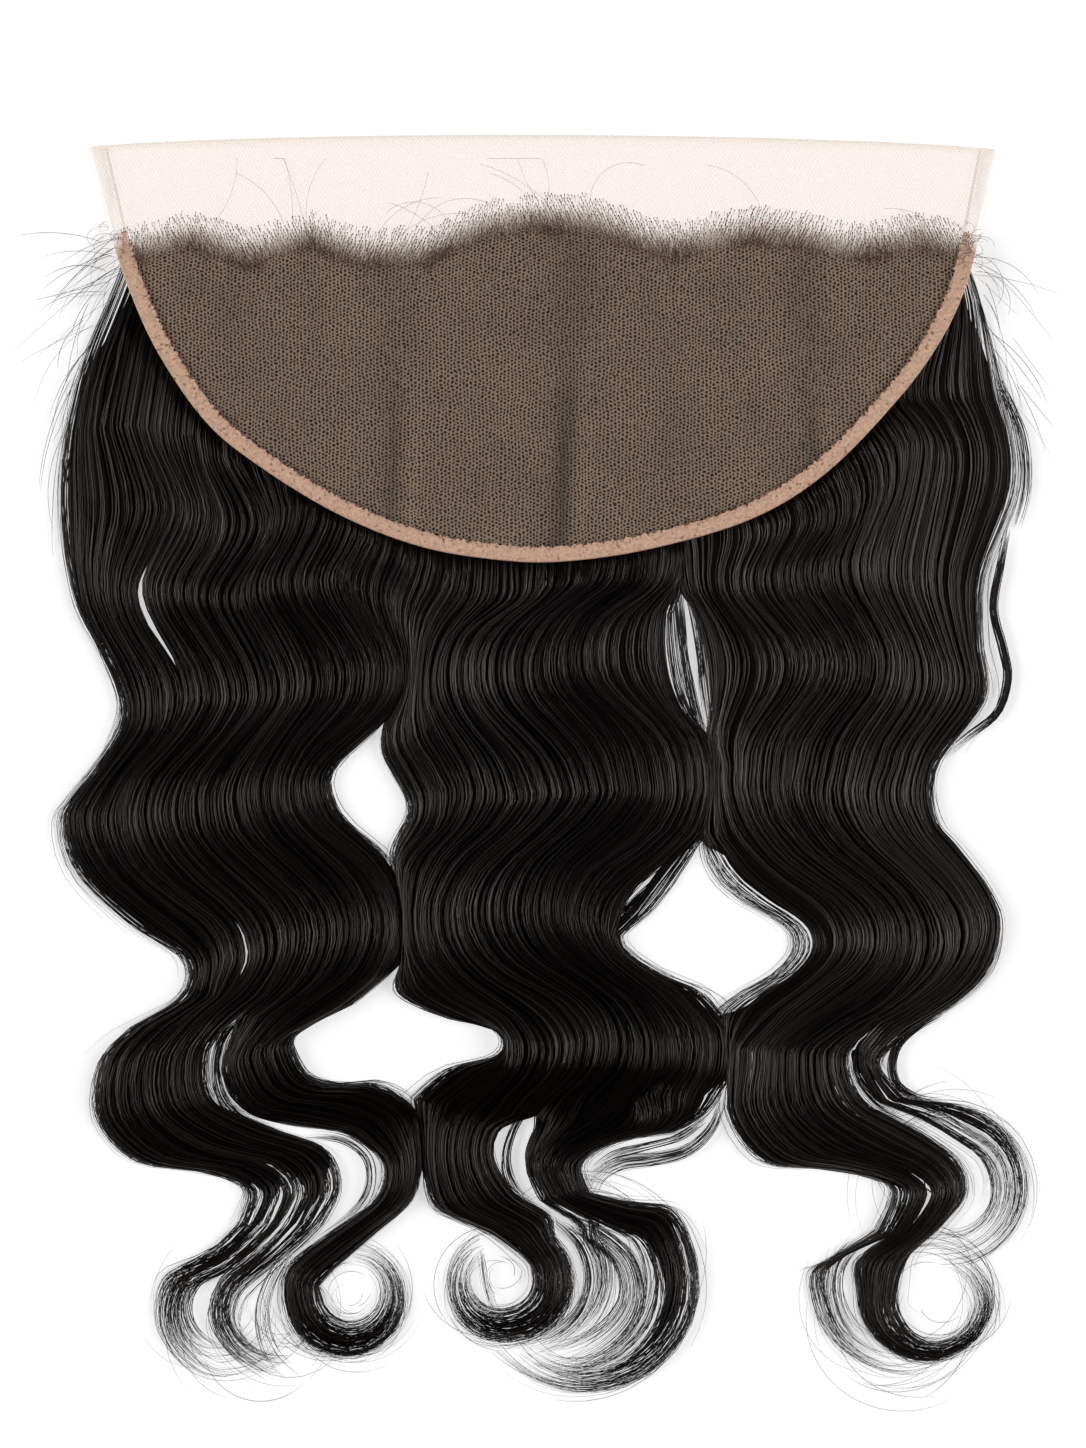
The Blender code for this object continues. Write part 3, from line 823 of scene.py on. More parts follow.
def tubes(name: str, paths: Array, half: Array, tones: Array) -> bpy.types.Object:
    """Join many strands into one mesh of closed three-sided tubes.

    Args:
        name: the object's name.
        paths: each strand's points, as strands by points by three.
        half: half the strand's width at each point.
        tones: one value for each strand, which its material reads.

    Returns:
        The new object with a UV map along the strands, the tones and the painted sheen.
    """
    count, steps = half.shape
    along = np.gradient(paths, axis=1)
    along /= np.linalg.norm(along, axis=2, keepdims=True) + 1e-9
    level = np.stack([along[..., 1], -along[..., 0], np.zeros_like(half)], axis=2)
    level /= np.linalg.norm(level, axis=2, keepdims=True) + 1e-9
    up = np.cross(level, along)
    width = half[..., None]
    low = up * width * TUBE_LOW
    corners = [paths + level * width - low, paths - level * width - low, paths + up * width * TUBE_TOP]
    corners = np.stack(corners, axis=2)
    number = np.arange(count * steps * 3).reshape(count, steps, 3)
    here, there = number[:, :-1], number[:, 1:]
    turn = np.roll(np.arange(3), -1)
    sides = np.stack([here, here[..., turn], there[..., turn], there], axis=3).reshape(-1)
    caps = [number[:, 0][:, ::-1].reshape(-1), number[:, -1].reshape(-1)]
    sizes = np.concatenate([np.full(count * (steps - 1) * 3, 4), np.full(count * 2, 3)])
    faces = np.concatenate([sides, *caps])
    made = object_from_arrays(name, corners.reshape(-1, 3), faces, sizes)
    lengths = np.linalg.norm(np.diff(paths, axis=1), axis=2)
    run = np.concatenate([np.zeros((count, 1)), np.cumsum(lengths, axis=1)], axis=1)
    whole = (count, steps, 3)
    round_share = np.broadcast_to(np.arange(3) / 3.0, whole)
    offset = np.arange(count)[:, None, None] * STRAND_OFFSET
    uv = np.stack([round_share + offset, np.broadcast_to(run[..., None], whole)], axis=3)
    give_uv(made, uv.reshape(-1, 2))
    give_values(made, "tone", np.broadcast_to(tones[:, None, None], whole))
    # Painted sheen: the summed gain of the sheen patches at each point, for the hair material's coat
    # and roughness.
    painted_sheen = sum(patch.at(paths[..., 0], paths[..., 1]) for patch in PAINTED_SHEENS)
    give_values(made, "painted_sheen", np.broadcast_to(painted_sheen[..., None], whole))
    return made


def mapped_grid(
    name: str, columns: int, rows: int, place: Callable[[Array, Array], Array], closed: bool = False
) -> bpy.types.Object:
    """Add a grid and lay it on a surface.

    Args:
        name: the object's name.
        columns: faces along the first direction.
        rows: faces along the second direction.
        place: gives points in millimetres for two arrays of shares from 0 to 1.
        closed: whether the second direction runs round and meets itself, with its ends filled.

    Returns:
        The new object with a UV map in millimetres along both directions.
    """
    clear_selection()
    bpy.ops.mesh.primitive_grid_add(x_subdivisions=columns, y_subdivisions=rows, size=1.0)
    made = bpy.context.active_object
    made.name = name
    made.data.name = name
    mesh = made.data
    flat = np.zeros(len(mesh.vertices) * 3)
    mesh.vertices.foreach_get("co", flat)
    shares = flat.reshape(-1, 3)[:, :2] + 0.5
    mesh.vertices.foreach_set("co", put_down(place(shares[:, 0], shares[:, 1])).ravel())
    if closed:
        bpy.ops.object.mode_set(mode="EDIT")
        closing = (
            (bpy.ops.mesh.remove_doubles, {"threshold": 1e-6}),
            (bpy.ops.mesh.fill_holes, {"sides": 0}),
            (bpy.ops.mesh.normals_make_consistent, {"inside": False}),
        )
        for step, values in closing:
            bpy.ops.mesh.select_all(action="SELECT")
            step(**values)
        bpy.ops.object.mode_set(mode="OBJECT")
    mesh.update()
    bpy.ops.object.shade_smooth()
    return made


def thicken(piece: bpy.types.Object, wall: float) -> None:
    """Give an open sheet a wall of this many millimetres, half on each side."""
    clear_selection()
    piece.select_set(True)
    bpy.context.view_layer.objects.active = piece
    solidify = piece.modifiers.new("wall", "SOLIDIFY")
    solidify.thickness = wall * MM
    solidify.offset = 0.0
    bpy.ops.object.modifier_apply(modifier=solidify.name)


def finish_piece(piece: bpy.types.Object, material: bpy.types.Material) -> None:
    """Dress a piece, ride it on the body and report it."""
    piece.data.materials.clear()
    piece.data.materials.append(material)
    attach(piece, BODY)
    triangles = sum(len(face.vertices) - 2 for face in piece.data.polygons)
    log.info("%s: %d triangles", piece.name, triangles)


@dataclass(frozen=True)
class Wiring:
    """One node tree, with short words for the nodes that the finishes are made of."""

    tree: bpy.types.NodeTree

    def math(self, kind: str, *values: object) -> bpy.types.NodeSocket:
        """Add a math node.

        Args:
            kind: the operation's name.
            values: numbers, or sockets to link.

        Returns:
            The node's output.
        """
        node = self.tree.nodes.new("ShaderNodeMath")
        node.operation = kind
        for socket, value in zip(node.inputs, values):
            if isinstance(value, (int, float)):
                socket.default_value = value
            else:
                self.link(value, socket)
        return node.outputs[0]

    def add(self, *values: object) -> bpy.types.NodeSocket:
        """Return the sum of two values."""
        return self.math("ADD", *values)

    def less(self, *values: object) -> bpy.types.NodeSocket:
        """Return the first value less the second."""
        return self.math("SUBTRACT", *values)

    def times(self, *values: object) -> bpy.types.NodeSocket:
        """Return the product of two values."""
        return self.math("MULTIPLY", *values)

    def over(self, *values: object) -> bpy.types.NodeSocket:
        """Return the first value divided by the second."""
        return self.math("DIVIDE", *values)

    def clamp(self, value: bpy.types.NodeSocket) -> bpy.types.NodeSocket:
        """Return a value held between 0 and 1."""
        return self.math("MINIMUM", self.math("MAXIMUM", value, 0.0), 1.0)

    def link(self, source: bpy.types.NodeSocket, target: bpy.types.NodeSocket) -> None:
        """Link an output to an input."""
        self.tree.links.new(source, target)

    def split(self, vector: bpy.types.NodeSocket) -> list[bpy.types.NodeSocket]:
        """Return a vector's x, y and z."""
        node = self.tree.nodes.new("ShaderNodeSeparateXYZ")
        self.link(vector, node.inputs[0])
        return list(node.outputs)

    def noise(self, vector: bpy.types.NodeSocket, scale: float, detail: float) -> object:
        """Return the outputs of a noise texture at a vector."""
        node = self.tree.nodes.new("ShaderNodeTexNoise")
        node.inputs["Scale"].default_value = scale
        node.inputs["Detail"].default_value = detail
        self.link(vector, node.inputs["Vector"])
        return node.outputs

    def flat_noise(
        self, x: bpy.types.NodeSocket, y: bpy.types.NodeSocket, detail: float
    ) -> bpy.types.NodeSocket:
        """Return the grey of a noise texture at x and y."""
        node = self.tree.nodes.new("ShaderNodeCombineXYZ")
        self.link(x, node.inputs[0])
        self.link(y, node.inputs[1])
        return self.noise(node.outputs[0], 1.0, detail)["Fac"]

    def place(self) -> bpy.types.NodeSocket:
        """Return the place in the piece's own coordinates, in metres."""
        return self.tree.nodes.new("ShaderNodeTexCoord").outputs["Object"]

    def value(self, name: str) -> bpy.types.NodeSocket:
        """Return the value that a piece carries at its vertices under this name."""
        node = self.tree.nodes.new("ShaderNodeAttribute")
        node.attribute_name = name
        return node.outputs["Fac"]

    def effect(self, group: bpy.types.NodeTree, **values: float) -> object:
        """Return the outputs of a shared effect that takes these values."""
        node = self.tree.nodes.new("ShaderNodeGroup")
        node.node_tree = group
        for label, value in values.items():
            node.inputs[label].default_value = value
        return node.outputs

    def blend(self, share: bpy.types.NodeSocket, low: object, high: object) -> bpy.types.NodeSocket:
        """Mix two colours.

        Args:
            share: the socket that picks between them.
            low: the colour at 0, or a socket.
            high: the colour at 1, or a socket.

        Returns:
            The mixed colour's socket.
        """
        node = self.tree.nodes.new("ShaderNodeMix")
        node.data_type = "RGBA"
        self.link(share, node.inputs["Factor"])
        for socket, colour in ((node.inputs[6], low), (node.inputs[7], high)):
            if isinstance(colour, tuple):
                socket.default_value = (*colour, 1.0)
            else:
                self.link(colour, socket)
        return node.outputs[2]

    def bump(
        self, shader: bpy.types.Node, height: bpy.types.NodeSocket, strength: float, distance: float
    ) -> None:
        """Let a height from 0 to 1 raise a shader's surface, at most by the distance in metres."""
        node = self.tree.nodes.new("ShaderNodeBump")
        node.inputs["Strength"].default_value = strength
        node.inputs["Distance"].default_value = distance
        self.link(height, node.inputs["Height"])
        self.link(node.outputs[0], shader.inputs["Normal"])


class Effects:
    """Shader node groups that several finishes share."""

    streak_kinds = (("Fine", 1.0, 1.0), ("Broad", 0.28, 0.7))
    thread_lean = 0.62
    dot_uneven = 0.45
    speck_scale = 900.0
    cloud_scale = 60.0
    root_scales = (1400.0, 200.0)
    pulls = ((38.0, 0.0030), (260.0, 0.0017), (700.0, 0.0007))
    fibre_kinds = (("Fibre", 1.0, 4.0), ("Fleck", 0.7, 1.0))

    def __init__(self) -> None:
        """Build each group once."""
        self.streaks = self._streaks()
        self.net = self._net()
        self.fibre = self._fibre()

    @staticmethod
    def _group(
        name: str, inputs: dict[str, float], outputs: tuple[str, ...]
    ) -> tuple[Wiring, object, object]:
        """Make an empty group with number sockets.

        Args:
            name: the group's name.
            inputs: each input's name and default value.
            outputs: the names of the outputs.

        Returns:
            The group's wiring, the sockets that its inputs give and those that its outputs take.
        """
        group = bpy.data.node_groups.new(name, "ShaderNodeTree")
        for label, value in inputs.items():
            socket = group.interface.new_socket(label, in_out="INPUT", socket_type="NodeSocketFloat")
            socket.default_value = value
        for label in outputs:
            group.interface.new_socket(label, in_out="OUTPUT", socket_type="NodeSocketFloat")
        given = group.nodes.new("NodeGroupInput").outputs
        return Wiring(group), given, group.nodes.new("NodeGroupOutput").inputs

    def _streaks(self) -> bpy.types.NodeTree:
        """Fine lines along the strands, read from the UV map."""
        inputs = {"Across": 3.0, "Along": 0.02}
        wire, given, found = self._group("strand_streaks", inputs, ("Fine", "Broad"))
        uv = wire.tree.nodes.new("ShaderNodeUVMap")
        uv.uv_map = "strand"
        place = wire.split(uv.outputs[0])
        for label, across, along in self.streak_kinds:
            x = wire.times(wire.times(place[0], given["Across"]), across)
            y = wire.times(wire.times(place[1], given["Along"]), along)
            wire.link(wire.flat_noise(x, y, 2.0), found[label])
        return wire.tree

    def _net(self) -> bpy.types.NodeTree:
        """Crossing threads, and dots in staggered columns where the holes show dark hair."""
        inputs = {"Pitch": 1.4, "Thread": 0.3, "Soft": 0.25, "Dot": 0.34, "Blur": 0.16}
        wire, given, found = self._group("lace_net", inputs, ("Threads", "Dots", "Cloud", "Roots"))
        x, y = self._warped(wire)
        pitch = wire.times(given["Pitch"], MM)
        waves = []
        for lean in (self.thread_lean, -self.thread_lean):
            turns = wire.over(wire.add(x, wire.times(y, lean)), pitch)
            wave = wire.math("SINE", wire.times(turns, math.pi))
            waves.append(wire.less(1.0, wire.math("ABSOLUTE", wave)))
        over = wire.less(wire.math("MAXIMUM", *waves), wire.less(1.0, given["Thread"]))
        wire.link(wire.clamp(wire.add(wire.over(over, given["Soft"]), 0.5)), found["Threads"])
        across = wire.over(x, pitch)
        odd = wire.times(wire.math("FLOORED_MODULO", wire.math("FLOOR", across), 2.0), 0.5)
        along = wire.add(wire.over(y, pitch), odd)
        near = [wire.less(wire.math("FRACT", part), 0.5) for part in (across, along)]
        distance = wire.math("SQRT", wire.add(*(wire.times(part, part) for part in near)))
        speck = wire.noise(wire.place(), self.speck_scale, 1.0)["Fac"]
        uneven = wire.times(wire.less(speck, 0.5), self.dot_uneven)
        inside = wire.less(wire.add(given["Dot"], uneven), distance)
        wire.link(wire.clamp(wire.add(wire.over(inside, given["Blur"]), 0.5)), found["Dots"])
        wire.link(wire.noise(wire.place(), self.cloud_scale, 3.0)["Fac"], found["Cloud"])
        stretched = [wire.times(part, scale) for part, scale in zip((x, y), self.root_scales)]
        wire.link(wire.flat_noise(*stretched, 1.0), found["Roots"])
        return wire.tree

    def _warped(self, wire: Wiring) -> list[bpy.types.NodeSocket]:
        """Return x and y in metres, pulled about a little as cloth is."""
        place = wire.place()
        found = wire.split(place)[:2]
        for scale, reach in self.pulls:
            parts = wire.split(wire.noise(place, scale, 1.0)["Color"])
            for axis in (0, 1):
                pull = wire.times(wire.less(parts[axis], 0.5), reach)
                found[axis] = wire.add(found[axis], pull)
        return found

    def _fibre(self) -> bpy.types.NodeTree:
        """Short soft fibres and small flecks of a woven tape."""
        wire, given, found = self._group("tape_fibre", {"Scale": 900.0}, ("Fibre", "Fleck"))
        place = wire.place()
        for label, times, detail in self.fibre_kinds:
            grey = wire.noise(place, 1.0, detail)["Fac"]
            wire.link(wire.times(given["Scale"], times), grey.node.inputs["Scale"])
            wire.link(grey, found[label])
        return wire.tree


@dataclass(frozen=True)
class Finish:
    """A surface finish: one Principled shader, dressed by its own method."""

    name: str
    colour: tuple[float, float, float]
    roughness: float

    def start(self) -> tuple[bpy.types.Material, Wiring, bpy.types.Node]:
        """Return a new material, its wiring and its Principled shader with the base values."""
        material = bpy.data.materials.new(self.name)
        material.use_nodes = True
        shader = material.node_tree.nodes["Principled BSDF"]
        shader.inputs["Base Color"].default_value = (*self.colour, 1.0)
        shader.inputs["Roughness"].default_value = self.roughness
        return material, Wiring(material.node_tree), shader


@dataclass(frozen=True)
class HairFinish(Finish):
    """Black hair with a warm cast, whose lines run along the strands."""

    warm: tuple[float, float, float] = (0.010, 0.0065, 0.005)
    glint: tuple[float, float, float] = (1.0, 0.88, 0.82)
    bump: float = 0.6
    across: float = 3.0
    gloss: float = 0.8
    coat: float = 0.0
    coat_roughness: float = 0.40
    coat_index: float = 1.75
    sheen: float = 0.3
    contrast: float = 1.8
    streak_rough: float = 0.2
    # How much the painted sheen roughens the hair.
    painted_sheen_rough: float = 0.12
    least_rough: float = 0.16

    def make(self, effects: Effects) -> bpy.types.Material:
        """Return the material.

        The attribute "tone" tells lit strands from dark ones, and a second attribute carries the
        painted sheen, which raises the coat and roughness where the hair should look brighter and
        lowers them where it should look darker.
        """
        material, wire, shader = self.start()
        shader.inputs["Specular IOR Level"].default_value = self.gloss
        shader.inputs["Specular Tint"].default_value = (*self.glint, 1.0)
        shader.inputs["Coat Tint"].default_value = (*self.glint, 1.0)
        shader.inputs["Coat Roughness"].default_value = self.coat_roughness
        shader.inputs["Coat IOR"].default_value = self.coat_index
        streaks = wire.effect(effects.streaks, Across=self.across)
        tone, painted_sheen = wire.value("tone"), wire.value("painted_sheen")
        strong = wire.clamp(wire.times(wire.times(streaks["Broad"], tone), self.contrast))
        wire.link(wire.blend(strong, self.colour, self.warm), shader.inputs["Base Color"])
        # The painted sheen patches raise the coat weight here, and lower it as painted shade where
        # their gain is below 0.
        reach = wire.math("MAXIMUM", wire.add(painted_sheen, self.sheen), 0.0)
        level = wire.times(wire.times(strong, reach), self.coat)
        wire.link(wire.clamp(level), shader.inputs["Coat Weight"])
        rough = wire.times(streaks["Fine"], self.streak_rough)
        rough = wire.add(rough, wire.times(painted_sheen, self.painted_sheen_rough))
        rough = wire.add(rough, self.roughness - self.streak_rough / 2.0)
        wire.link(wire.math("MAXIMUM", rough, self.least_rough), shader.inputs["Roughness"])
        wire.bump(shader, streaks["Fine"], self.bump, 0.0004)
        return material


@dataclass(frozen=True)
class NetFinish(Finish):
    """Sheer net: threads with open holes, which turns brown and dotted where hair is knotted in."""

    worked: tuple[float, float, float] = (0.37, 0.255, 0.18)
    dot: tuple[float, float, float] = (0.014, 0.008, 0.005)
    pitch: float = 1.4
    thread: float = 0.30
    sheer: float = 0.20
    between: float = 0.13
    worked_alpha: float = 1.0
    root_contrast: float = 1.7
    front_gain: float = 0.7
    cloud_from: float = 0.25
    cloud_depth: float = 0.7
    fold_depth: float = 0.8
    darkest: float = 0.42

    def make(self, effects: Effects) -> bpy.types.Material:
        """Return the material. The attribute "worked" is 1 where hair is knotted in.

        The attribute "shade" darkens the valleys of the folds, and "front" marks the cut edge.
        """
        material, wire, shader = self.start()
        net = wire.effect(effects.net, Pitch=self.pitch, Thread=self.thread)
        lines = wire.times(net["Threads"], self.sheer - self.between)
        turned = wire.times(wire.value("front"), self.between * self.front_gain)
        cover = wire.add(wire.add(lines, self.between), turned)
        past = wire.times(wire.value("worked"), self.root_contrast)
        gap = wire.times(net["Roots"], self.root_contrast - 1.0)
        rooted = wire.clamp(wire.less(past, gap))
        gain = wire.times(rooted, wire.less(self.worked_alpha, cover))
        wire.link(wire.add(gain, cover), shader.inputs["Alpha"])
        cloud = wire.times(wire.less(net["Cloud"], self.cloud_from), self.cloud_depth)
        dark = wire.clamp(wire.add(cloud, wire.times(wire.value("shade"), self.fold_depth)))
        thread = wire.blend(dark, self.worked, tuple(part * self.darkest for part in self.worked))
        dotted = wire.blend(net["Dots"], thread, self.dot)
        wire.link(wire.blend(rooted, self.colour, dotted), shader.inputs["Base Color"])
        wire.bump(shader, wire.less(net["Threads"], net["Dots"]), 0.4, 0.0002)
        return material


@dataclass(frozen=True)
class TapeFinish(Finish):
    """Soft peach tape with fibres and small darker flecks."""

    fleck: tuple[float, float, float] = (0.36, 0.20, 0.13)
    bare_alpha: float = 0.12
    darkest: float = 0.74
    palest: float = 1.22
    contrast: float = 2.2
    fleck_from: float = 0.63
    fleck_edge: float = 9.0

    def make(self, effects: Effects) -> bpy.types.Material:
        """Return the material. The attribute "bare" is 1 where the tape thins out at its ends."""
        material, wire, shader = self.start()
        thinned = wire.times(wire.value("bare"), 1.0 - self.bare_alpha)
        wire.link(wire.less(1.0, thinned), shader.inputs["Alpha"])
        fibre = wire.effect(effects.fibre)
        dark = tuple(part * self.darkest for part in self.colour)
        pale = tuple(min(1.0, part * self.palest) for part in self.colour)
        felt = wire.add(wire.times(wire.less(fibre["Fibre"], 0.5), self.contrast), 0.5)
        ground = wire.blend(wire.clamp(felt), dark, pale)
        over = wire.less(fibre["Fleck"], self.fleck_from)
        spots = wire.clamp(wire.times(over, self.fleck_edge))
        wire.link(wire.blend(spots, ground, self.fleck), shader.inputs["Base Color"])
        wire.bump(shader, fibre["Fibre"], 0.6, 0.0003)
        return material


@dataclass
class LaceBase:
    """The D-shaped lace with its soft folds, and the heights that the hair keeps under it."""

    corner_left: tuple[float, float] = (-175.0, 236.0)
    corner_right: tuple[float, float] = (175.0, 235.0)
    front_bow: float = 5.5
    bow_power: float = 0.7
    flat_from_y: float = 224.0
    ramp: float = 52.0
    lift: float = 8.5
    wall: float = 1.0
    cloth: float = 0.24
    inset: float = 1.3
    columns: int = 130
    rows: int = 60
    back: tuple[tuple[float, float], ...] = (
        (-164.5, 202.0), (-157.0, 181.0), (-146.0, 157.0), (-128.0, 131.0), (-107.5, 114.0),
        (-78.0, 96.0), (-48.0, 84.0), (-20.0, 78.8), (6.0, 77.8), (40.0, 82.5), (79.0, 94.0),
        (108.0, 112.0), (136.0, 141.0), (151.0, 162.0), (160.0, 181.0), (166.0, 202.0),
    )
    folds: tuple[tuple[float, float, float, float], ...] = (
        (-120.0, 0.5, 12.0, 0.05), (-56.0, 0.8, 12.0, 0.03), (10.0, 1.3, 11.0, 0.06),
        (46.0, 0.5, 10.0, -0.10), (101.0, 0.8, 11.0, -0.05),
    )
    fold_middle_y: float = 150.0
    root_depth: float = 17.0
    front_turn: float = 4.0
    ripple: float = 0.12
    trough: float = 0.45
    lit: float = 0.5
    hairline: tuple[tuple[float, float], ...] = (
        (-166.0, 200.0), (-160.0, 205.0), (-134.0, 212.0), (-113.0, 205.0), (-88.0, 212.0),
        (-69.0, 205.0), (-43.0, 206.0), (-24.0, 215.0), (-5.0, 219.0), (18.0, 218.0), (37.0, 211.0),
        (48.0, 208.0), (60.0, 210.0), (79.0, 214.0), (98.0, 212.0), (117.0, 207.0), (136.0, 210.0),
        (145.0, 212.0), (158.0, 207.0), (166.0, 200.0),
    )
    path: Array = field(init=False)

    def __post_init__(self) -> None:
        """Work out the back line once, as evenly spaced points."""
        knots = np.array(self.back)
        fine = catmull(knots, np.linspace(0.0, len(knots) - 1, 600))
        run = np.concatenate([[0.0], np.cumsum(np.linalg.norm(np.diff(fine, axis=0), axis=1))])
        wanted = np.linspace(0.0, run[-1], 361)
        self.path = np.stack([np.interp(wanted, run, fine[:, axis]) for axis in (0, 1)], axis=1)

    def along_back(self, shares: Array, inward: Array = 0.0) -> Array:
        """Return points on the back line, moved inwards by some millimetres."""
        at = shares * (len(self.path) - 1)
        number = np.arange(len(self.path))
        way = np.gradient(self.path, axis=0)
        way /= np.linalg.norm(way, axis=1)[:, None]
        point = np.stack([np.interp(at, number, self.path[:, axis]) for axis in (0, 1)], axis=1)
        normal = [np.interp(at, number, part) for part in (-way[:, 1], way[:, 0])]
        return point + np.stack(normal, axis=1) * np.reshape(inward, (-1, 1))

    def back_y(self, x: Array) -> Array:
        """Return where the back line crosses these x."""
        return np.interp(x, self.path[:, 0], self.path[:, 1])

    def front_y(self, x: Array) -> Array:
        """Return the bowed front edge at these x."""
        left, right = self.corner_left, self.corner_right
        share = np.clip((x - left[0]) / (right[0] - left[0]), 0.0, 1.0)
        bow = np.clip(1.0 - (2.0 * share - 1.0) ** 2, 0.0, 1.0) ** self.bow_power
        return mix(left[1], right[1], share) + self.front_bow * bow

    def floor(self, x: Array, y: Array) -> Array:
        """Return the height of the underside of the lace solid."""
        rise = smooth((self.flat_from_y - y) / self.ramp)
        height = np.full(np.shape(x), self.lift)
        for middle, depth, half, lean in self.folds:
            across = x - middle - lean * (y - self.fold_middle_y)
            height = height - depth * np.exp(-((across / half) ** 2))
        return height * rise

    def over(self, place: Array, height: Array) -> Array:
        """Return points at a height over the underside of the lace at these places."""
        return np.stack([*place.T, self.floor(*place.T) + height], axis=1)

    def hairline_y(self, x: Array) -> Array:
        """Return the front of the hair at these x."""
        knots = np.array(self.hairline)
        return np.interp(x, knots[:, 0], knots[:, 1])

    def inside(self, x: Array, y: Array) -> Array:
        """Return how far inside the back edge these places lie, below 0 where they are out."""
        slope = (self.back_y(x + 1.0) - self.back_y(x - 1.0)) / 2.0
        return (y - self.back_y(x)) / np.hypot(1.0, slope)

    def ceiling(self, x: Array, y: Array) -> Array:
        """Return how high the hair may reach under the lace and its tape."""
        inside = self.inside(x, y)
        room = mix(1.6, 0.7, smooth(inside / 24.0))
        under = self.floor(x, np.maximum(y, self.back_y(x))) - room
        within = (x > self.path[0, 0]) & (x < self.path[-1, 0])
        free = smooth((-inside - 1.0) / 7.0) * 14.0
        return np.where(within, under + np.where(inside < 0.0, free, 0.0), 99.0)

    def sheet_point(self, across: Array, up: Array) -> Array:
        """Return points of the lace from its back edge (up 0) to its front edge (up 1)."""
        low = self.along_back(across, self.inset)
        left, right = self.corner_left[0] + self.inset, self.corner_right[0] - self.inset
        share = (low[:, 0] - self.path[0, 0]) / (self.path[-1, 0] - self.path[0, 0])
        front_x = mix(left, right, np.clip(share, 0.0, 1.0))
        x = mix(low[:, 0], front_x, up)
        y = mix(low[:, 1], self.front_y(front_x), up)
        ripple = self.ripple * np.sin(x * 0.21 + y * 0.05) * np.sin(x * 0.057 + 1.0)
        return self.over(np.stack([x, y], axis=1), self.wall * 0.5 + ripple)

    def fold_shade(self, x: Array, y: Array) -> Array:
        """Return how dark a fold makes these places, below 0 on its lit side."""
        deepest = max(fold[1] for fold in self.folds)
        shade = np.zeros(np.shape(x))
        for middle, depth, half, lean in self.folds:
            across = (x - middle - lean * (y - self.fold_middle_y)) / half
            shade = shade + self.trough * depth / deepest * np.exp(-((across * 1.3) ** 2))
            fall = smooth((self.fold_middle_y + 10.0 - y) / 40.0) * (depth > 0.7)
            shade = shade + (0.3 + 0.4 * depth / deepest) * fall * np.exp(-((across * 4.2) ** 2))
            shade = shade - self.lit * fall * np.exp(-(((across - 0.62) * 3.6) ** 2))
        return shade

    def flat_area(self) -> float:
        """Return the area of the cut lace in square metres."""
        x = np.linspace(self.path[0, 0], self.path[-1, 0], 400)
        depth = self.front_y(x) - self.back_y(x)
        return float(np.sum((depth[1:] + depth[:-1]) / 2.0 * np.diff(x))) * MM * MM

    def build(self, finish: NetFinish, effects: Effects) -> bpy.types.Object:
        """Return the dressed lace, with its worked part marked."""
        lace = mapped_grid("lace_net", self.columns, self.rows, self.sheet_point)
        thicken(lace, self.cloth)
        x, y = read_points(lace)[:, :2].T
        depth = self.hairline_y(x) - y
        give_values(lace, "worked", np.clip((depth - 1.0) / self.root_depth, 0.0, 1.0))
        give_values(lace, "front", 1.0 - smooth((self.front_y(x) - y) / self.front_turn))
        give_values(lace, "shade", self.fold_shade(x, y))
        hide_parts("lace_panel")
        finish_piece(lace, finish.make(effects))
        return lace


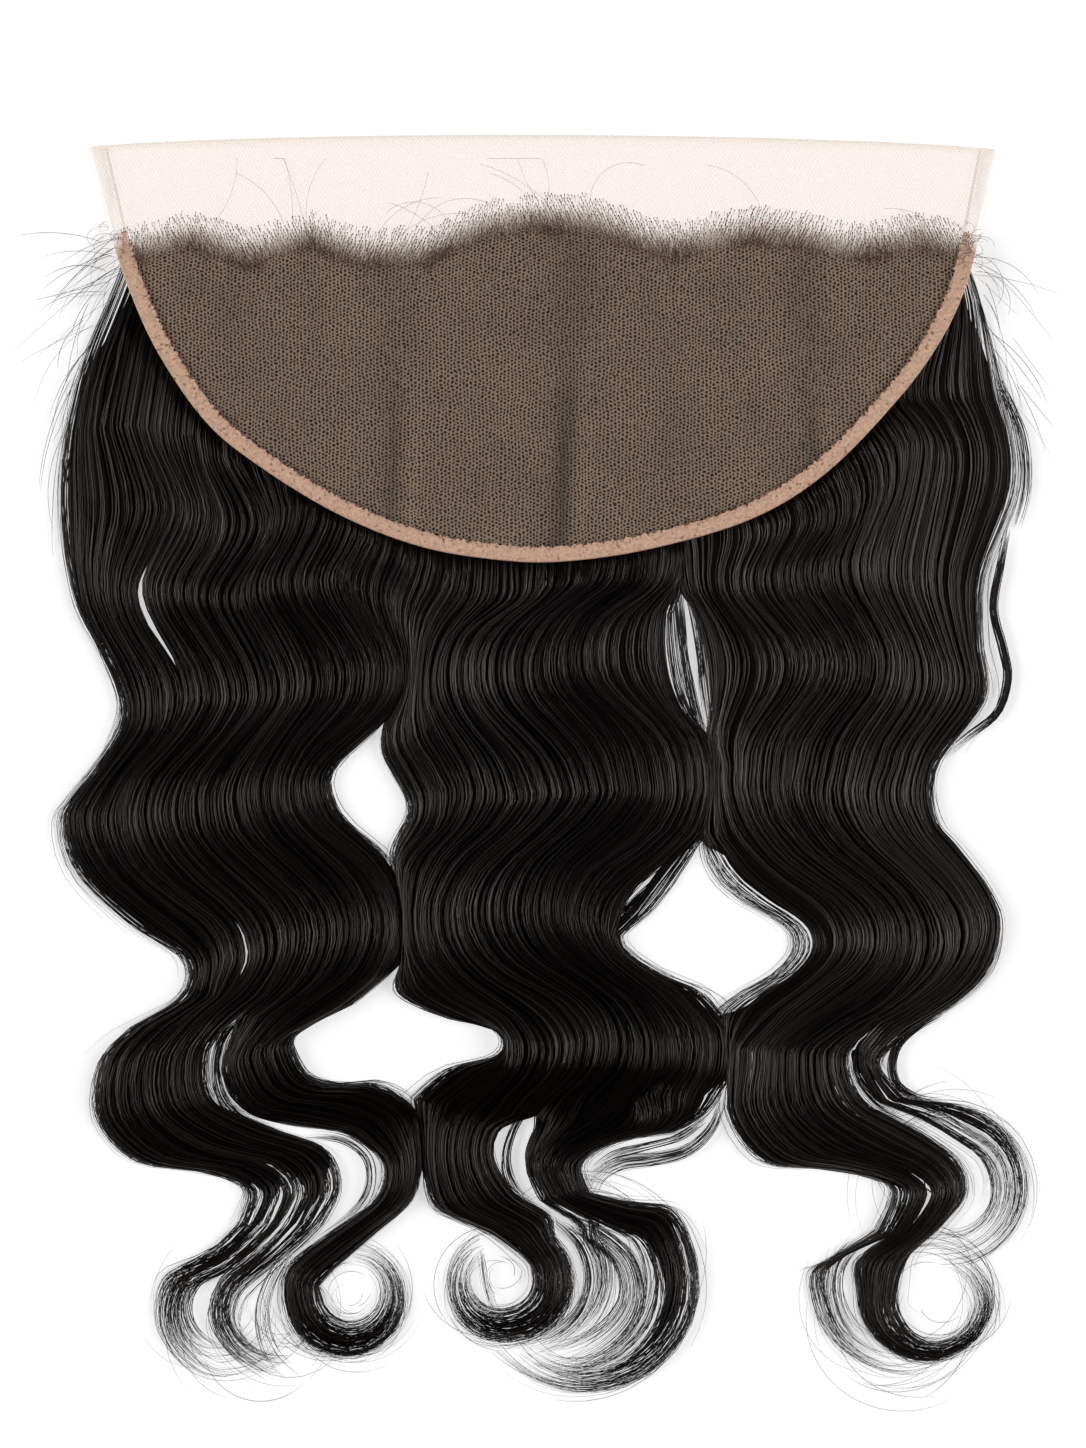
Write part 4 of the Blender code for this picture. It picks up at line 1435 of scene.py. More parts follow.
@dataclass
class EdgeTape:
    """The peach tape folded over the back edge: a flat leaf, a rolled fold and its stitches."""

    lace: LaceBase
    width: float = 6.0
    under: float = 4.0
    thick: float = 0.5
    roll: float = 0.75
    stations: int = 420
    round_steps: int = 22
    stitch_gap: float = 1.9
    end_fade: float = 9.0
    fuzz: float = 0.06

    def section(self, turn: Array, station: Array) -> tuple[Array, Array]:
        """Return how far in and how high a point of the folded section lies.

        Args:
            turn: the way round the section, from 0 to 1.
            station: the place along the tape, which makes the inner edge ragged.

        Returns:
            The distance inwards from the outer fold, and the height over the lace's underside.
        """
        ragged = 0.35 * np.sin(station * 1530.0) + 0.25 * np.sin(station * 911.0 + 1.0)
        ragged += 0.25 * np.sin(station * 2210.0 + 2.0)
        edge = self.width + ragged
        top = self.lace.wall + 0.5
        corners = (
            (0.0, edge, top),
            (0.10, edge * 0.99, top + 0.35),
            (0.14, edge * 0.9, top + 0.5),
            (0.32, 1.7, top + 0.55),
            (0.42, 0.75, top + 0.95),
            (0.50, 0.12, top + 0.55),
            (0.56, 0.0, 0.6),
            (0.62, 0.15, -0.6),
            (0.70, 0.9, -1.2),
            (0.90, self.under, -1.0),
            (0.95, self.under, -0.5),
            (1.0, edge, top),
        )
        turns, inwards, heights = zip(*corners)
        turns, heights = np.array(turns), np.array(heights)
        inwards = np.stack([np.broadcast_to(inward, edge.shape) for inward in inwards])
        which = np.clip(np.searchsorted(turns, turn, side="right") - 1, 0, len(turns) - 2)
        share = (turn - turns[which]) / (turns[which + 1] - turns[which])
        number = np.arange(len(turn))
        inward = mix(inwards[which, number], inwards[which + 1, number], share)
        return inward, mix(heights[which], heights[which + 1], share)

    def point(self, along: Array, turn: Array) -> Array:
        """Return points of the folded tape."""
        inward, height = self.section(turn, along)
        fuzz = self.fuzz * np.sin(along * 3900.0 + turn * math.tau * 6.0)
        return self.lace.over(self.lace.along_back(along, inward), height + fuzz)

    def stitches(self, material: bpy.types.Material) -> bpy.types.Object:
        """Return the overlock stitches along the inner edge, joined in one mesh."""
        length = float(np.sum(np.linalg.norm(np.diff(self.lace.path, axis=0), axis=1)))
        count = int(length / self.stitch_gap)
        rng = np.random.default_rng(11)
        along = (np.arange(count) + 0.5 + rng.uniform(-0.2, 0.2, count)) / count
        steps = 4
        reach = np.linspace(0.0, 1.0, steps)
        inner = self.width + rng.uniform(0.2, 1.1, count)
        paths = np.zeros((count, steps, 3))
        for step, share in enumerate(reach):
            place = self.lace.along_back(
                np.clip(along + rng.uniform(-0.6, 0.6, count) * share / count, 0.0, 1.0),
                mix(self.width - 1.6, inner, share),
            )
            paths[:, step] = self.lace.over(place, self.lace.wall + 1.05 - 0.75 * share**2)
        half = np.broadcast_to(np.array((0.10, 0.19, 0.17, 0.08)), (count, steps))
        piece = tubes("band_stitches", paths, half, rng.uniform(0.0, 1.0, count))
        finish_piece(piece, material)
        return piece

    def build(self, finish: TapeFinish, effects: Effects) -> list[bpy.types.Object]:
        """Return the tape and its stitches."""
        material = finish.make(effects)
        band = mapped_grid("folded_band", self.stations, self.round_steps, self.point, closed=True)
        ends = self.lace.path[[0, -1]]
        gap = read_points(band)[:, None, :2] - ends[None]
        gap = np.linalg.norm(gap, axis=2).min(axis=1)
        give_values(band, "bare", 1.0 - smooth((gap - 2.0) / self.end_fade))
        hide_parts("edge_band")
        finish_piece(band, material)
        return [band, self.stitches(material)]


@dataclass
class SideHem:
    """A sheer hem from the band's end to a front corner: doubled net and a peach inner line."""

    lace: LaceBase
    side: Side
    low_width: float = 6.5
    high_width: float = 9.0
    line_width: float = 1.1
    leaf_wall: float = 0.3
    line_wall: float = 0.16

    def edge(self, up: Array, inward: Array) -> Array:
        """Return points beside the hem's outer line, moved inwards."""
        left = self.side is Side.LEFT
        end = self.lace.path[0 if left else -1]
        corner = np.array(self.lace.corner_left if left else self.lace.corner_right)
        place = mix(end[None], corner[None], column(up))
        return place + np.stack([-self.side.value * inward, np.zeros_like(inward)], axis=1)

    def leaf_point(self, up: Array, across: Array) -> Array:
        """Return points of the doubled net."""
        width = mix(self.low_width, self.high_width, up)
        place = self.edge(up, width * across)
        droop = smooth((0.12 - across) / 0.12) * 0.9
        return self.lace.over(place, self.lace.wall * 0.5 + 0.5 - droop)

    def line_point(self, up: Array, across: Array) -> Array:
        """Return points of the peach line along the hem's inner edge."""
        width = mix(self.low_width, self.high_width, up)
        place = self.edge(up, width - self.line_width * across)
        return self.lace.over(place, self.lace.wall * 0.5 + 0.75)

    def build(self, net: NetFinish, line: NetFinish, effects: Effects) -> list[bpy.types.Object]:
        """Return the doubled net and the line on it."""
        word = self.side.name.lower()
        leaf = mapped_grid(f"hem_net_{word}", 60, 14, self.leaf_point)
        thicken(leaf, self.leaf_wall)
        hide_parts(f"side_hem_{word}")
        finish_piece(leaf, net.make(effects))
        stripe = mapped_grid(f"hem_line_{word}", 60, 3, self.line_point)
        thicken(stripe, self.line_wall)
        for piece in (leaf, stripe):
            give_values(piece, "worked", np.zeros(len(piece.data.vertices)))
            give_values(piece, "shade", np.zeros(len(piece.data.vertices)))
        finish_piece(stripe, line.make(effects))
        return [leaf, stripe]


@dataclass(frozen=True)
class Seam:
    """The y ranges where a section's edge lies against the next, and how far its hair laps over."""

    closed: tuple[tuple[float, float], ...] = ()
    lap: float = 0.9
    fade: float = 7.0

    def weight(self, y: Array) -> Array:
        """Return 1 where the edge lies against the next section and 0 where it is free."""
        found = np.zeros(np.shape(y))
        for low, high in self.closed:
            inside = smooth((y - low) / self.fade) * smooth((high - y) / self.fade)
            found = np.maximum(found, inside)
        return found


@dataclass
class HairSection:
    """One section of hair: dense cores of its locks, and the strands that lie over them."""

    name: str
    trunk: Lock
    lace: LaceBase
    seam_left: Optional[float]
    seam_right: Optional[float]
    guides: tuple[Guide, ...]
    seed: int
    edge_left: Seam
    edge_right: Seam
    partings: tuple[Parting, ...] = ()
    strand_count: int = 500
    strand_steps: int = 64
    strand_half: float = 0.26
    fringe: float = 5.0
    edge_gain: float = 0.9
    edge_reach: float = 0.04
    gather: tuple[float, float, float] = (0.18, 0.4, 0.25)
    gather_most: float = 0.85
    lit_tones: tuple[float, float] = (0.55, 1.0)
    dark_tones: tuple[float, float] = (0.0, 0.35)
    tone_drift: float = 0.16
    groups_a_column: float = 2.0
    lit_share: float = 0.36
    far: float = 1000.0
    rim: float = 1.0
    seam_share: float = 0.82
    seam_fade: float = 30.0
    dome_power: float = 0.42
    station_step: float = 3.0
    ease_length: float = 13.0
    ease_turn: float = 14.0
    ease_count: int = 240
    core_share: float = 0.84
    core_stations: int = 130
    core_columns: float = 2.2
    taper_from: float = 0.86
    rim_inset: float = 1.8
    edge_zone: float = 0.08
    column_width: float = 4.4
    ridges: tuple[tuple[float, float], ...] = ((2.0, 0.06), (0.9, 0.05))
    mat_from: float = 19.0
    mat_still_y: float = 150.0
    head_y: float = 203.0
    leave_lace: float = 7.0
    guide_fade: float = 45.0
    guide_join: float = 18.0
    top_y: float = 270.0
    low_y: float = -160.0
    sway_step: float = 1.0
    sway: Array = field(init=False)

    def __post_init__(self) -> None:
        """Tabulate how far the guides carry the hair sideways, by y and share across."""
        rows = np.array([row.values() for row in self.trunk.rows])
        line = catmull(rows, np.linspace(0.0, len(rows) - 1, 400))
        y = np.arange(self.low_y, self.top_y, self.sway_step)
        columns = [np.zeros_like(y)]
        for guide in self.guides:
            middle = mix(line[:, :2], line[:, 2:4], guide.share)
            order = np.argsort(middle[:, 1])
            base = np.interp(y, middle[order, 1], middle[order, 0])
            top, low = guide.knots[0][0], guide.all_knots()[-1][0]
            known = np.clip(y, low, top)
            moved = guide.x_at(known) - np.interp(known, y, base)
            moved *= smooth((top + self.guide_fade - y) / self.guide_fade)
            columns.append(moved * smooth((y - low + self.guide_join) / self.guide_join))
        columns.append(np.zeros_like(y))
        self.sway = np.stack(columns, axis=1)

    def sway_at(self, whole: Array, y: Array) -> Array:
        """Return how far the hair at a share across the whole section moves sideways at y."""
        shares = np.array([-1e-6, *(guide.share for guide in self.guides), 1.0 + 1e-6])
        whole = np.clip(whole, 0.0, 1.0)
        cell = np.clip(np.searchsorted(shares, whole, side="right") - 1, 0, len(shares) - 2)
        across = (whole - shares[cell]) / (shares[cell + 1] - shares[cell])
        at = np.clip((y - self.low_y) / self.sway_step, 0.0, len(self.sway) - 1.001)
        row = at.astype(int)
        low = mix(self.sway[row, cell], self.sway[row, cell + 1], across)
        high = mix(self.sway[row + 1, cell], self.sway[row + 1, cell + 1], across)
        return mix(low, high, at - row)

    def falls(self) -> list[Fall]:
        """Return the whole way of each leaf lock."""
        found: list[Fall] = []
        self._follow(self.trunk, [], [], found)
        return found

    def _follow(self, lock: Lock, before: list, done: list, found: list[Fall]) -> None:
        """Follow a lock to its leaves.

        Args:
            lock: the lock to follow.
            before: the last rows of the lock it parted from, cut to its own columns.
            done: the stretches already followed, as (lock, stations).
            found: the list that takes each leaf's fall.
        """
        rows = before + [row.values() for row in lock.rows]
        if lock.curl is not None:
            rows += lock.curl.rows()
        rows = np.array(rows)
        first = max(0, len(before) - 1)
        step = np.linalg.norm(np.diff(rows[first:, :2], axis=0), axis=1)
        step = (step + np.linalg.norm(np.diff(rows[first:, 2:4], axis=0), axis=1)) / 2.0
        run = np.concatenate([[0.0], np.cumsum(step)])
        count = max(3, int(run[-1] / self.station_step))
        places = np.interp(np.linspace(0.0, run[-1], count + 1), run, np.arange(len(run)) + first)
        stations = catmull(rows, places)
        done = done + [(lock, stations)]
        if not lock.children:
            found.append(self._leaf(done))
            return
        back = max(1, round(10.0 / self.station_step))
        for child in lock.children:
            start = [self._cut(stations[k], lock, child) for k in (-1 - back, -1)]
            self._follow(child, start, done, found)

    @staticmethod
    def _cut(row: Array, whole: Lock, part: Lock) -> Array:
        """Return a row cut to the columns of a lock inside it."""
        low, high = whole.sides(part)
        return np.array((*mix(row[:2], row[2:4], low), *mix(row[:2], row[2:4], high), row[4]))

    def _leaf(self, done: list) -> Fall:
        """Join the stretches that lead to a leaf, cut to its columns and evenly eased."""
        leaf = done[-1][0]
        parts = []
        for number, (lock, stations) in enumerate(done):
            cut = np.array([self._cut(row, lock, leaf) for row in stations[min(number, 1) :]])
            own = (leaf.first / COLUMNS, leaf.last / COLUMNS)
            shares = np.broadcast_to((*lock.sides(leaf), *own), (len(cut), 4))
            parts.append(np.concatenate([cut, shares], axis=1))
        whole = np.concatenate(parts)
        soft = np.ones(9) / 9.0
        for column in (5, 6):
            padded = np.pad(whole[:, column], 4, mode="edge")
            whole[:, column] = np.convolve(padded, soft, mode="valid")
        turning = np.zeros(len(whole) - 1)
        for share in (0.1, 0.5, 0.9):
            line = np.stack(self.path_of(whole, np.full(len(whole), share)), axis=1)
            step = np.diff(line, axis=0)
            heading = np.unwrap(np.arctan2(step[:, 1], step[:, 0]))
            turning[1:] = np.maximum(turning[1:], np.abs(np.diff(heading)))
        line = (whole[:, :2] + whole[:, 2:4]) / 2.0
        length = np.linalg.norm(np.diff(line, axis=0), axis=1)
        effort = length / self.ease_length + turning / math.radians(self.ease_turn)
        effort = np.concatenate([[0.0], np.cumsum(effort)])
        wanted = np.linspace(0.0, effort[-1], self.ease_count)
        eased = np.stack([np.interp(wanted, effort, part) for part in whole.T], axis=1)
        lengths = np.linalg.norm(np.diff((eased[:, :2] + eased[:, 2:4]) / 2.0, axis=0), axis=1)
        return Fall(leaf, eased, np.concatenate([[0.0], np.cumsum(lengths)]))

    def seam_weight(self, y: Array, share: Array) -> Array:
        """Return 1 at an edge that lies against the next section, and 0 at a free one."""
        left = 0.0 if self.seam_left is None else smooth((y - self.seam_left) / self.seam_fade)
        right = 0.0 if self.seam_right is None else smooth((y - self.seam_right) / self.seam_fade)
        return mix(left, right, smooth(share))

    def height(self, station: Array, share: Array, x: Array, y: Array) -> Array:
        """Return the top of the hair.

        Args:
            station: stations as Fall.read gives them.
            share: the share across the leaf lock.
            x: where that is.
            y: where that is.

        Returns:
            Heights in millimetres.
        """
        whole = mix(station[..., 5], station[..., 6], share)
        thick = station[..., 4]
        rim = mix(self.rim, np.maximum(self.rim, thick * self.seam_share), self.seam_weight(y, whole))
        dome = np.clip(4.0 * whole * (1.0 - whole), 0.0, 1.0) ** self.dome_power
        top = np.minimum(mix(rim, np.maximum(rim, thick), dome), self.lace.ceiling(x, y))
        return np.clip(top, 0.5, None)

    def path_of(self, station: Array, share: Array, offset: Array = 0.0) -> tuple[Array, Array]:
        """Return x and y at a share across stations, moved by some millimetres."""
        span = station[..., 2:4] - station[..., :2]
        moved = share + offset / (lock_width(station) + 1e-6)
        x = station[..., 0] + span[..., 0] * moved
        y = station[..., 1] + span[..., 1] * moved
        whole = whole_share(station, share)
        x = x + self.sway_at(whole, y)
        for parting in self.partings:
            x = x + parting.opening(whole, y)
        return x, y

    def ribbons(self, fall: Fall) -> list[tuple[float, float]]:
        """Return the shares of a leaf lock between its partings, from side to side."""
        low, high = fall.stations[0, 7], fall.stations[0, 8]
        cuts = [(cut.share - low) / (high - low) for cut in self.partings]
        edges = [0.0, *sorted(cut for cut in cuts if 0.02 < cut < 0.98), 1.0]
        return list(zip(edges[:-1], edges[1:]))

    def rim_at(self, station: Array, seam: Seam, away: Array) -> Array:
        """Return how far inwards the core's rim lies, as a share, below 0 where it laps over.

        Args:
            station: stations as Fall.read gives them.
            seam: the seam at that edge of the section.
            away: how far the lock's own edge is from it, as a share.

        Returns:
            Shares of the lock's width.
        """
        weight = seam.weight((station[..., 1] + station[..., 3]) / 2.0)
        free = 1.0 - smooth(away / self.edge_zone)
        return mix(self.rim_inset, -seam.lap, weight) / lock_width(station) * free

    def core(
        self, number: int, fall: Fall, sides: tuple[float, float], rng: np.random.Generator
    ) -> tuple[Array, Array, Array]:
        """Make the dense core of one leaf lock between two of its partings.

        Args:
            number: the ribbon's number in its section.
            fall: the leaf's way.
            sides: the shares of the lock at the ribbon's two sides.
            rng: the source of its ridges.

        Returns:
            Grid points as stations by columns by three, the flat underside's edge points, and
            the UV of the grid.
        """
        span = fall.lock.columns * (sides[1] - sides[0])
        columns = max(3, round(span * self.core_columns) + 1)
        places = np.linspace(0.0, fall.lock.solid_to, self.core_stations)
        station = fall.read(places)[:, None]
        closing = column(places) / fall.lock.solid_to - self.taper_from
        closing = smooth(closing / (1.0 - self.taper_from))
        left = self.rim_at(station, self.edge_left, station[..., 5])
        right = self.rim_at(station, self.edge_right, 1.0 - station[..., 6])
        low = left if sides[0] == 0.0 else np.full_like(left, sides[0] + 1e-4)
        high = 1.0 - right if sides[1] == 1.0 else np.full_like(right, sides[1] - 1e-4)
        share = mix(low, high, np.linspace(0.0, 1.0, columns)[None])
        share = mix(share, 0.5, 0.97 * closing)
        x, y = self.path_of(station, share)
        start = self.lace.hairline_y(x) - self.mat_from
        start = start + 1.5 * np.sin(x * 1.3) + 1.2 * np.sin(x * 0.57)
        reach = np.clip((y - self.mat_still_y) / (self.head_y - self.mat_still_y), 0.0, 1.0)
        y = np.where(y > self.mat_still_y, mix(self.mat_still_y, start, reach), y)
        ridges = np.zeros_like(x)
        for pitch, size in self.ridges:
            knots = int(span * self.column_width / pitch) + 3
            table = rng.uniform(-1.0, 1.0, (6, knots))
            slow = np.clip(places * 5.0, 0.0, 4.999)
            cell = slow.astype(int)
            at = np.linspace(0.0, knots - 1.001, columns)
            fine = np.stack([np.interp(at, np.arange(knots), line) for line in table])
            ridges += size * mix(fine[cell], fine[cell + 1], column(smooth(slow - cell)))
        z = self.height(station, share, x, y) * (self.core_share + ridges) * mix(1.0, 0.3, closing)
        grid = np.stack([x, y, np.maximum(z, 0.4)], axis=2)
        across = np.linspace(0.0, span * self.column_width, columns)
        uv_x = np.broadcast_to(across, x.shape) + number * 50.0
        run = np.interp(places, np.linspace(0, 1, len(fall.lengths)), fall.lengths)
        uv_y = np.broadcast_to(column(run), x.shape)
        return grid, np.stack([grid[:, 0], grid[:, -1]], axis=1), np.stack([uv_x, uv_y], axis=2)

    def build_core(self, falls: list[Fall], material: bpy.types.Material) -> bpy.types.Object:
        """Return the dense cores of all leaf locks as one mesh."""
        rng = np.random.default_rng(self.seed)
        points, faces, sizes, uvs = [], [], [], []
        start = 0
        ribbons = [(fall, sides) for fall in falls for sides in self.ribbons(fall)]
        for number, (fall, sides) in enumerate(ribbons):
            grid, edges, uv = self.core(number, fall, sides, rng)
            rows, columns = grid.shape[:2]
            under = edges.copy()
            under[..., 2] = 0.2
            top = start + np.arange(rows * columns).reshape(rows, columns)
            low = start + rows * columns + np.arange(rows * 2).reshape(rows, 2)
            points += [grid.reshape(-1, 3), under.reshape(-1, 3)]
            uvs += [uv.reshape(-1, 2), uv[:, [0, -1]].reshape(-1, 2)]
            quads = [
                (top[:-1, :-1], top[1:, :-1], top[1:, 1:], top[:-1, 1:]),
                (top[:-1, 0], low[:-1, 0], low[1:, 0], top[1:, 0]),
                (top[:-1, -1], top[1:, -1], low[1:, 1], low[:-1, 1]),
                (low[:-1, 0], low[:-1, 1], low[1:, 1], low[1:, 0]),
            ]
            for corners in quads:
                faces.append(np.stack(corners, axis=-1).ravel())
                sizes.append(np.full(corners[0].size, 4))
            for row, turn in ((0, 1), (-1, -1)):
                cap = np.concatenate([top[row], low[row][::-1]])[::turn]
                faces.append(cap)
                sizes.append(np.array([len(cap)]))
            start += rows * columns + rows * 2
        arrays = [np.concatenate(parts) for parts in (points, faces, sizes)]
        made = object_from_arrays(f"{self.name}_core", *arrays)
        give_uv(made, np.concatenate(uvs))
        give_values(made, "tone", np.full(len(made.data.vertices), 0.3))
        # The cores carry no painted sheen.
        give_values(made, "painted_sheen", np.zeros(len(made.data.vertices)))
        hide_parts(self.name)
        finish_piece(made, material)
        return made

    def lapping(self, station: Array, share: Array) -> Array:
        """Return how far strands near an edge are carried over the next section."""
        whole = whole_share(station, share)
        y = (station[..., 1] + station[..., 3]) / 2.0
        right = self.edge_right.weight(y) * self.edge_right.lap * smooth((whole - 0.9) / 0.1)
        left = self.edge_left.weight(y) * self.edge_left.lap * smooth((0.1 - whole) / 0.1)
        return right - left

    def leaving(self, fall: Fall, share: Array) -> Array:
        """Return the place where hair at each share comes out from under the lace's back edge."""
        places = np.linspace(0.0, 0.6, 160)
        station = fall.read(np.broadcast_to(places, (len(share), len(places))))
        x, y = self.path_of(station, share[:, None])
        out = self.lace.inside(x, y) < self.leave_lace
        return places[np.argmax(out, axis=1)]

    def spread(self, fall: Fall, count: int, rng: np.random.Generator) -> Array:
        """Return shares across a leaf lock at which strands lie about evenly in millimetres."""
        knots = np.linspace(0.0, 1.0, 41)
        station = fall.read(np.broadcast_to(np.linspace(0.15, fall.lock.thin_from, 50), (41, 50)))
        x, y = self.path_of(station, knots[:, None])
        gap = np.hypot(np.diff(x, axis=0), np.diff(y, axis=0))
        weight = np.sqrt((gap**2).mean(axis=1)) + 0.4 * gap.mean()
        middle = (knots[1:] + knots[:-1]) / 2.0
        weight *= 1.0 + self.edge_gain * np.exp(-middle * (1.0 - middle) / self.edge_reach)
        filled = np.concatenate([[0.0], np.cumsum(weight)])
        wanted = (np.arange(count) + rng.uniform(0.0, 1.0, count)) / count
        return np.interp(wanted * filled[-1], filled, knots)

    def strands(
        self, fall: Fall, count: int, rng: np.random.Generator, layer: tuple[float, float], half: float
    ) -> tuple[Array, Array, Array]:
        """Lay strands over one leaf lock.

        Args:
            fall: the leaf's way.
            count: how many strands.
            rng: the source of their differences.
            layer: the lowest and highest share of the lock's height where they lie.
            half: half a strand's usual width.

        Returns:
            Their points, half widths and tones.
        """
        lock = fall.lock
        steps = self.strand_steps
        share = self.spread(fall, count, rng)
        begin = self.leaving(fall, share) - rng.uniform(0.0, 0.004, count)
        ends = lock.thin_from + (1.0 - lock.thin_from) * rng.uniform(0.0, 1.0, count) ** 0.8
        places = mix(begin[:, None], ends[:, None], np.linspace(0.0, 1.0, steps)[None])
        station = fall.read(places)
        groups = max(2, int(lock.columns * self.groups_a_column))
        group = np.clip((share * groups).astype(int), 0, groups - 1)
        centre = (group + 0.5) / groups
        least, wave, tip = self.gather
        gather = least + wave * wander(rng, count, 5, places) ** 2 + tip * smooth((places - 0.6) / 0.4)
        share = mix(column(share), column(centre), np.clip(gather, 0.0, self.gather_most))
        drift = wander(rng, groups, 9, np.broadcast_to(np.linspace(0, 1, 121), (groups, 121)))
        at = np.clip(places * 120.0, 0, 119.999)
        cell = at.astype(int)
        swing = mix(drift[group[:, None], cell], drift[group[:, None], cell + 1], at - cell)
        loose = smooth((places - lock.thin_from + 0.1) / (1.1 - lock.thin_from))
        offset = swing * (0.9 + lock.fan * loose)
        offset += wander(rng, count, 12, places) * 0.8 + wander(rng, count, 4, places) * 1.2 * loose
        x, y = self.path_of(station, share, offset + self.lapping(station, share))
        top = self.height(station, np.clip(share, 0.0, 1.0), x, y)
        bulge = 1.0 - np.clip(np.abs(share - centre[:, None]) * groups * 2.0, 0.0, 1.0) ** 2
        level = rng.uniform(*layer, count)[:, None] + 0.06 * wander(rng, count, 10, places)
        level = level - 0.16 * (1.0 - bulge)
        z = np.clip(top * np.clip(level, 0.1, 1.02), 0.45, None)
        span = np.linspace(0.0, 1.0, steps)
        taper = np.interp(span, (0.0, 0.04, 0.75, 0.93, 1.0), (0.5, 1.0, 1.0, 0.7, 0.15))
        width = lock_width(station)
        whole = whole_share(station, share)
        seam = np.where(whole > 0.5, self.edge_right.weight(y), self.edge_left.weight(y))
        left = np.where(station[..., 5] < 0.03, share * width, self.far)
        right = np.where(station[..., 6] > 0.97, (1.0 - share) * width, self.far)
        near = np.minimum(left, right)
        fine = mix(0.5, 1.0, smooth(np.clip(near, 0.0, None) / self.fringe))
        fine = mix(fine, 1.0, seam)
        wide = half * rng.uniform(0.55, 1.25, count)[:, None] * taper[None] * fine
        lit = rng.uniform(0.0, 1.0, count) < self.lit_share
        bright, dark = rng.uniform(*self.lit_tones, count), rng.uniform(*self.dark_tones, count)
        tones = np.where(lit, bright, dark) + self.tone_drift * rng.normal(0, 1, groups)[group]
        tones = np.clip(tones, 0, 1)
        return np.stack([x, y, z], axis=2), wide, tones

    def build_strands(self, falls: list[Fall], material: bpy.types.Material) -> list[bpy.types.Object]:
        """Return the strands in an under and an upper layer, one mesh each."""
        made = []
        columns = sum(fall.lock.columns for fall in falls)
        for word, layer, share in (("under", (0.72, 0.92), 0.22), ("upper", (0.86, 1.0), 0.78)):
            rng = np.random.default_rng(self.seed + len(made) * 17 + 1)
            parts = []
            for fall in falls:
                wide = fall.lock.columns / columns
                count = max(8, round(self.strand_count * share * wide * fall.lock.share))
                parts.append(self.strands(fall, count, rng, layer, self.strand_half))
            paths, half, tones = (np.concatenate(column) for column in zip(*parts))
            piece = tubes(f"{self.name}_strands_{word}", paths, half, tones)
            finish_piece(piece, material)
            made.append(piece)
        return made

    def build(self, core: bpy.types.Material, strand: bpy.types.Material) -> list[bpy.types.Object]:
        """Return the section's core and strands."""
        falls = self.falls()
        return [self.build_core(falls, core), *self.build_strands(falls, strand)]


@dataclass
class Hairline:
    """The roots at the front of the hair: knots in the net, each with a short dark stroke."""

    lace: LaceBase
    pitch: float = 1.3
    depth: float = 15.0
    stroke: float = 4.2
    ragged: float = 0.22
    seed: int = 5

    def build(self, material: bpy.types.Material) -> bpy.types.Object:
        """Return the strokes as one mesh."""
        rng = np.random.default_rng(self.seed)
        columns = np.arange(-162.0, 163.5, self.pitch)
        rows = np.arange(0.0, self.depth, self.pitch)
        x, down = (part.ravel() for part in np.meshgrid(columns, rows))
        x = x + (np.round(down / self.pitch) % 2) * self.pitch / 2.0
        x = x + rng.uniform(-0.25, 0.25, len(x))
        ragged = 2.2 * np.sin(x * 0.9) + 1.6 * np.sin(x * 0.37 + 2.0)
        ragged = ragged + rng.uniform(-1.0, 1.0, len(x))
        y = self.lace.hairline_y(x) - down + self.ragged * ragged
        kept = rng.uniform(0, 1, len(x)) < np.minimum(0.65 + down / 12.0, 2.6 - down / 9.0)
        inside = (y > self.lace.back_y(x) + 8.0) & kept
        x, y, down = x[inside], y[inside], down[inside]
        count, steps = len(x), 4
        lean = 0.38 * np.sin(x * 0.045 + 0.6) + rng.normal(0.0, 0.14, count)
        deeper = mix(0.6, 1.1, np.clip(down / 10.0, 0.0, 1.0))
        reach = self.stroke * rng.uniform(0.5, 1.2, count) * deeper
        paths = np.zeros((count, steps, 3))
        for step, share in enumerate(np.linspace(0.0, 1.0, steps)):
            place = np.stack([x + lean * reach * share, y - reach * share], axis=1)
            paths[:, step] = self.lace.over(place, self.lace.wall * 0.5 + 0.22 - 0.14 * share)
        half = np.broadcast_to(np.array((0.24, 0.085, 0.075, 0.04)), (count, steps))
        half = half * rng.uniform(0.6, 1.25, count)[:, None]
        piece = tubes("hairline_roots", paths, half, rng.uniform(0.0, 1.0, count))
        finish_piece(piece, material)
        return piece


@dataclass(frozen=True)
class Spray:
    """Stray hairs that leave one place and fan out."""

    x: float
    y: float
    heading: float
    length: float
    fan: float
    bend: float
    count: int
    spread_x: float = 4.0
    spread_y: float = 8.0
    height: float = 2.0


